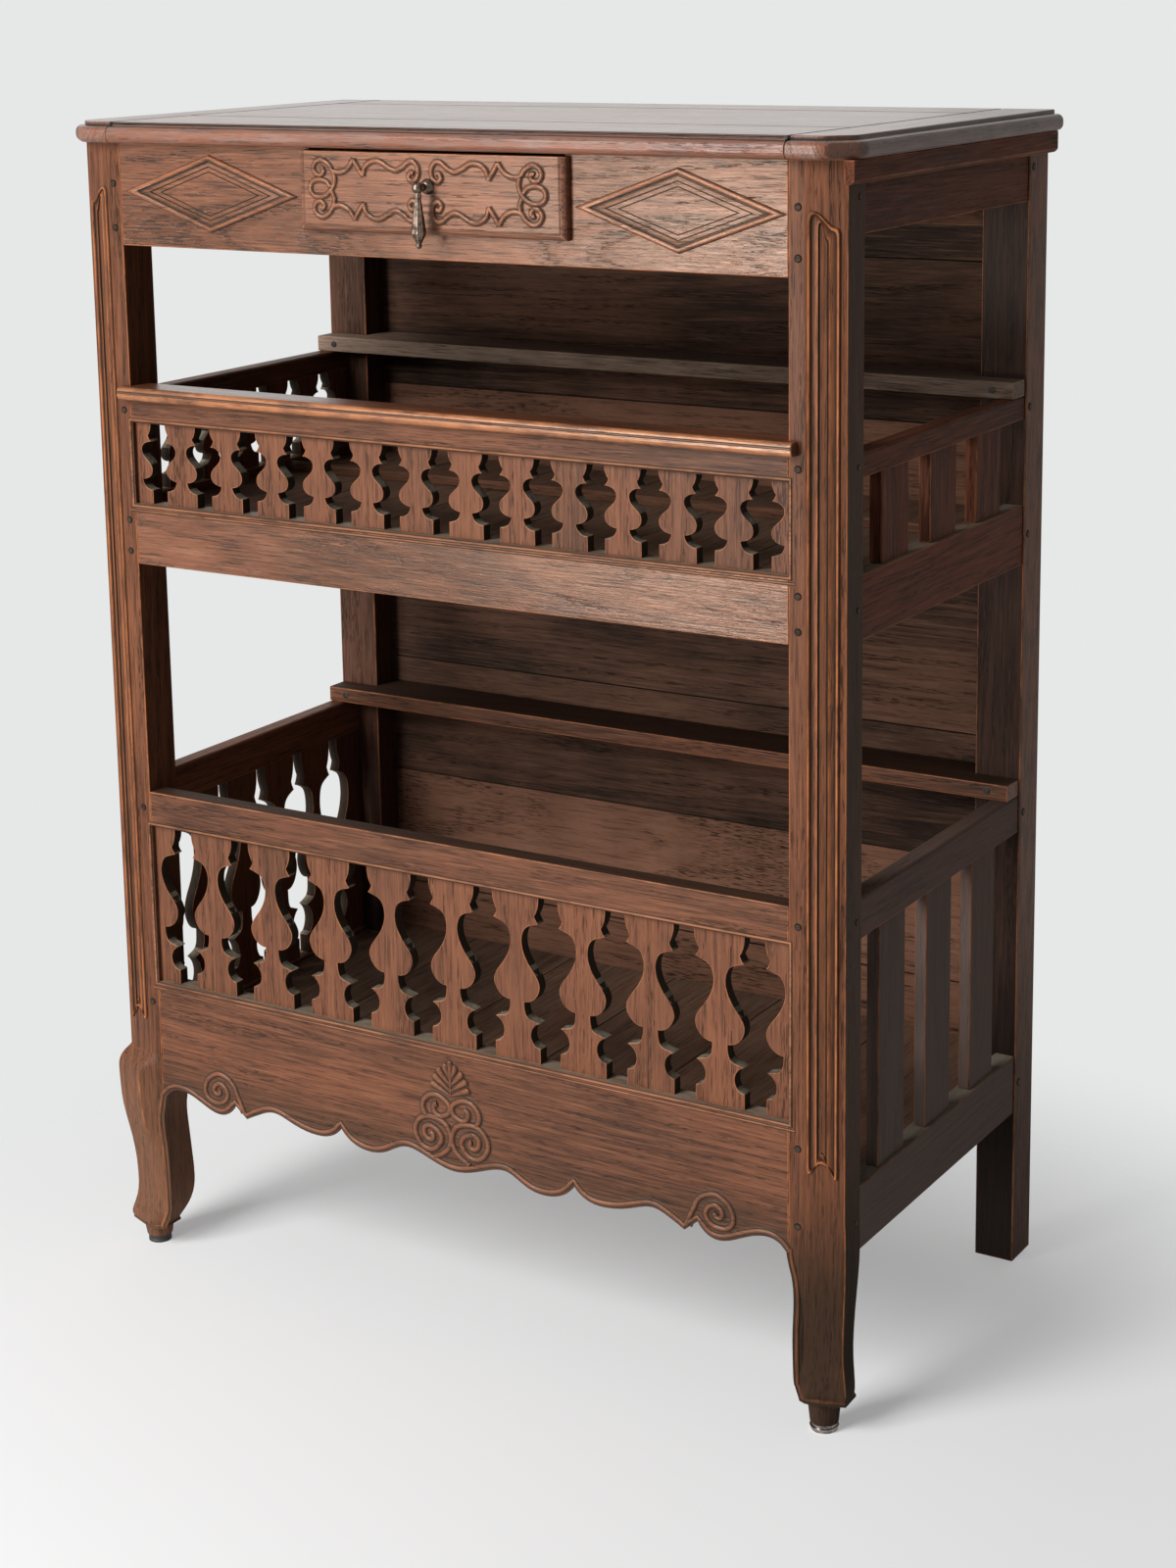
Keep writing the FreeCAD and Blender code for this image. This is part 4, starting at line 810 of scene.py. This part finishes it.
# front legs: the apron's bead runs on down the inner edge of each leg, and a rolled rim goes round the toe
leg = {"top": 216.0, "inset": 2.3, "toe": {"left": 26.0, "right": 36.0}, "rimInset": 1.6, "jag": 1.2,
       "near": 0.05, "slack": 0.1, "steps": 3}
legBead = {**edgeBead, "wearing": 0.5}
rimBead = {"radius": 4.2, "flat": 1.0, "wearing": 0.5, "ground": 0.2, "closed": True}


def legEdge(side):   # the inner front corner of the leg, level by level
    bm = weldedCopy(f"post_front_{side}")
    corners = {}
    for vert in bm.verts:
        x, y, z = (part / mm for part in vert.co)
        if abs(y - faceY) < leg["near"] and leg["toe"][side] - leg["slack"] < z < leg["top"]:
            level = round(z, 1)
            corners[level] = min(corners.get(level, abs(x)), abs(x))
    bm.free()
    across = 1 if side == "right" else -1
    edge = sorted(corners.items(), reverse=True)
    calm = [here for before, here, after in zip(edge[:1] + edge, edge, edge[1:] + edge[-1:])
            if abs(here[1] - (before[1] + after[1]) / 2) < leg["jag"]]
    return flow([(across * (x + leg["inset"]), z) for z, x in calm], leg["steps"])


def toeRim(side):   # round the underside of the toe, a little in from its edge
    bm = weldedCopy(f"post_front_{side}")
    around = [(v.co.x / mm, v.co.y / mm) for v in bm.verts
              if abs(v.co.z / mm - leg["toe"][side]) < leg["near"]]
    bm.free()
    hull = [Vector(around[n]) for n in geometry.convex_hull_2d(around)]
    centre = sum(hull, Vector((0, 0))) / len(hull)
    return [tuple(corner + (centre - corner).normalized() * leg["rimInset"]) for corner in hull]


for side in ("left", "right"):
    post = f"post_front_{side}"
    carve(f"leg_bead_{side}", post, frontFace, [legEdge(side)], look=lookOf(post), **legBead)
    rimLevel = Matrix.Translation((0, 0, (leg["toe"][side] + leg["rimInset"]) * mm))
    carve(f"toe_rim_{side}", post, rimLevel, [toeRim(side)], look=lookOf(post), **rimBead)
print("legs beaded")

# gallery openings: a bead round each, a finer one under it, and a quirk along the cap above
lips = {"upper": {"z": (959.4, 1063.4), "rail": "upper_front_top_rail"},
        "lower": {"z": (355.4, 562.4), "rail": "lower_front_top_rail"}, "x": 441.4, "fine": 5.6}
# the lips' crests are paler, with wear and partly a painted highlight
lipBead = {"radius": 2.3, "flat": 0.8, "wearing": 0.7, "ground": 1.0, "look": "lip"}
fineBead = {**lipBead, "radius": 1.1, "ground": 0.8}
cap = {"face": -262.0, "reach": 448.0, "level": 1097.6}
# the cap's quirk is a fine bead on ground painted dark, a painted shadow line along the cap
capBead = {"radius": 0.8, "flat": 0.5, "wearing": 0.0, "ground": 0.5, "soilAndShade": 1.0}
for tier in ("upper", "lower"):
    low, high = lips[tier]["z"]
    x, fine = lips["x"], lips["fine"]
    ring = [(-x, low), (x, low), (x, high), (-x, high)]
    under = [(-x - fine, low - fine), (x + fine, low - fine)]
    host = lips[tier]["rail"]
    carve(f"{tier}_opening_lip", host, frontFace, [ring], closed=True, **lipBead)
    carve(f"{tier}_opening_line", host, frontFace, [under], **fineBead)
capLine = [(-cap["reach"], cap["level"]), (cap["reach"], cap["level"])]
carve("cap_quirk", "upper_front_cap", facing(0, cap["face"]), [capLine], **capBead)
print("opening lips run")

# stage: pale floor that fades into a pale surround, soft light from the left
stage = {"floorRadius": 9.0, "floorSides": 96, "floor": rgb(208, 208, 208), "floorGlow": 0.265,
         "floorRough": 0.9, "floorShine": 0.1, "fade": (1.6, 4.2), "paperFade": (0.6, 1.4),
         "paperFadeAt": (0.15, -0.45, 0.0), "paper": rgb(230, 232, 231), "room": rgb(250, 250, 252),
         "ambient": 0.17}
lamps = {"keyLight": {"energy": 282.0, "size": 2.6, "at": (-1.6, -4.2, 3.7), "aim": (0, 0, 0.8)},
         "frontLight": {"energy": 78.0, "size": 0.9, "at": (-1.1, -3.5, 0.75), "aim": (0.2, 0, 1.2)},
         "fillLight": {"energy": 0.2, "size": 2.0, "at": (3.2, -1.6, 1.8), "aim": (0, 0, 0.7)},
         "rimLight": {"energy": 7.0, "size": 2.4, "at": (-2.4, 3.6, 2.4), "aim": (0, 0, 1.3)}}


def addLamp(name, energy, size, at, aim):
    data = bpy.data.lights.new(name, "AREA")
    data.energy = energy
    data.size = size
    lamp = bpy.data.objects.new(name, data)
    lamp.location = at
    lamp.rotation_euler = (Vector(aim) - Vector(at)).to_track_quat("-Z", "Y").to_euler()
    lamp.visible_camera = False
    bpy.context.scene.collection.objects.link(lamp)


def seenRays(shade):   # 1 for what the camera and reflections see, 0 for the light that falls on things
    path = shade.tree.nodes.new("ShaderNodeLightPath")
    camera, glossy, clear = (Shade(shade.tree, path.outputs[name])
                             for name in ("Is Camera Ray", "Is Glossy Ray", "Is Transmission Ray"))
    return camera + glossy + clear


def layFloor():
    bm = bmesh.new()
    bmesh.ops.create_circle(bm, cap_ends=True, segments=stage["floorSides"], radius=stage["floorRadius"])
    mesh = bpy.data.meshes.new("floor")
    bm.to_mesh(mesh)
    bm.free()
    floor = bpy.data.objects.new("floor", mesh)
    bpy.context.scene.collection.objects.link(floor)
    material, shade, surface = newMaterial("floorPaper")
    surface.inputs["Base Color"].default_value = stage["floor"]
    surface.inputs["Roughness"].default_value = stage["floorRough"]
    surface.inputs["Specular IOR Level"].default_value = stage["floorShine"]
    surface.inputs["Emission Strength"].default_value = stage["floorGlow"]
    feed(shade, surface, Emission_Color=seenRays(shade))
    place = shade.node("ShaderNodeTexCoord", out="Object")
    away = place.length().between(*stage["fade"])
    beside = place.vector("SUBTRACT", stage["paperFadeAt"]).length()
    away = away + beside.between(*stage["paperFade"]) * seenRays(shade)
    clear = shade.node("ShaderNodeBsdfTransparent")
    paper = Shade(shade.tree, surface.outputs[0])
    mixed = shade.node("ShaderNodeMixShader", {}, {0: away, 1: paper, 2: clear})
    output = next(n for n in shade.tree.nodes if n.type == "OUTPUT_MATERIAL")
    shade.tree.links.new(mixed.socket, output.inputs[0])
    mesh.materials.append(material)


def lightRoom():
    world = bpy.data.worlds.new("studio")
    world.use_nodes = True
    world.node_tree.nodes.clear()
    shade = Shade(world.node_tree)
    room = shade.node("ShaderNodeBackground", {}, {"Color": stage["room"], "Strength": stage["ambient"]})
    paper = shade.node("ShaderNodeBackground", {}, {"Color": stage["paper"], "Strength": 1.0})
    mixed = shade.node("ShaderNodeMixShader", {}, {0: seenRays(shade), 1: room, 2: paper})
    output = world.node_tree.nodes.new("ShaderNodeOutputWorld")
    world.node_tree.links.new(mixed.socket, output.inputs[0])
    bpy.context.scene.world = world
    for name, lamp in lamps.items():
        addLamp(name, **lamp)


# camera: at the photo's angle, with a small shift so that uprights stay nearly upright
camera = {"azimuth": 31.592, "elevation": 11.468, "roll": -0.869, "at": (1.7362, -2.7522, 1.58),
          "focalPixels": 2837.4, "imageHeight": 1600.0, "middleRow": 545.0, "sensor": 36.0}


def setCamera():
    azimuth, elevation, roll = (math.radians(camera[key]) for key in ("azimuth", "elevation", "roll"))
    back = Vector((math.sin(azimuth) * math.cos(elevation), -math.cos(azimuth) * math.cos(elevation),
                   math.sin(elevation)))
    right = Vector((0, 0, 1)).cross(back).normalized()
    up = back.cross(right)
    tilted = right * math.cos(roll) + up * math.sin(roll)
    upright = up * math.cos(roll) - right * math.sin(roll)
    data = bpy.data.cameras.new("camera")
    data.sensor_width = camera["sensor"]
    data.lens = camera["focalPixels"] / camera["imageHeight"] * camera["sensor"]
    data.shift_y = camera["middleRow"] / camera["imageHeight"] - 0.5
    seat = bpy.data.objects.new("camera", data)
    turn = Matrix((tilted, upright, back)).transposed().to_4x4()
    seat.matrix_world = Matrix.Translation(camera["at"]) @ turn
    bpy.context.scene.collection.objects.link(seat)
    bpy.context.scene.camera = seat


layFloor()
lightRoom()
setCamera()
bpy.context.scene.view_settings.view_transform = "Standard"
print("stage, light and camera set")
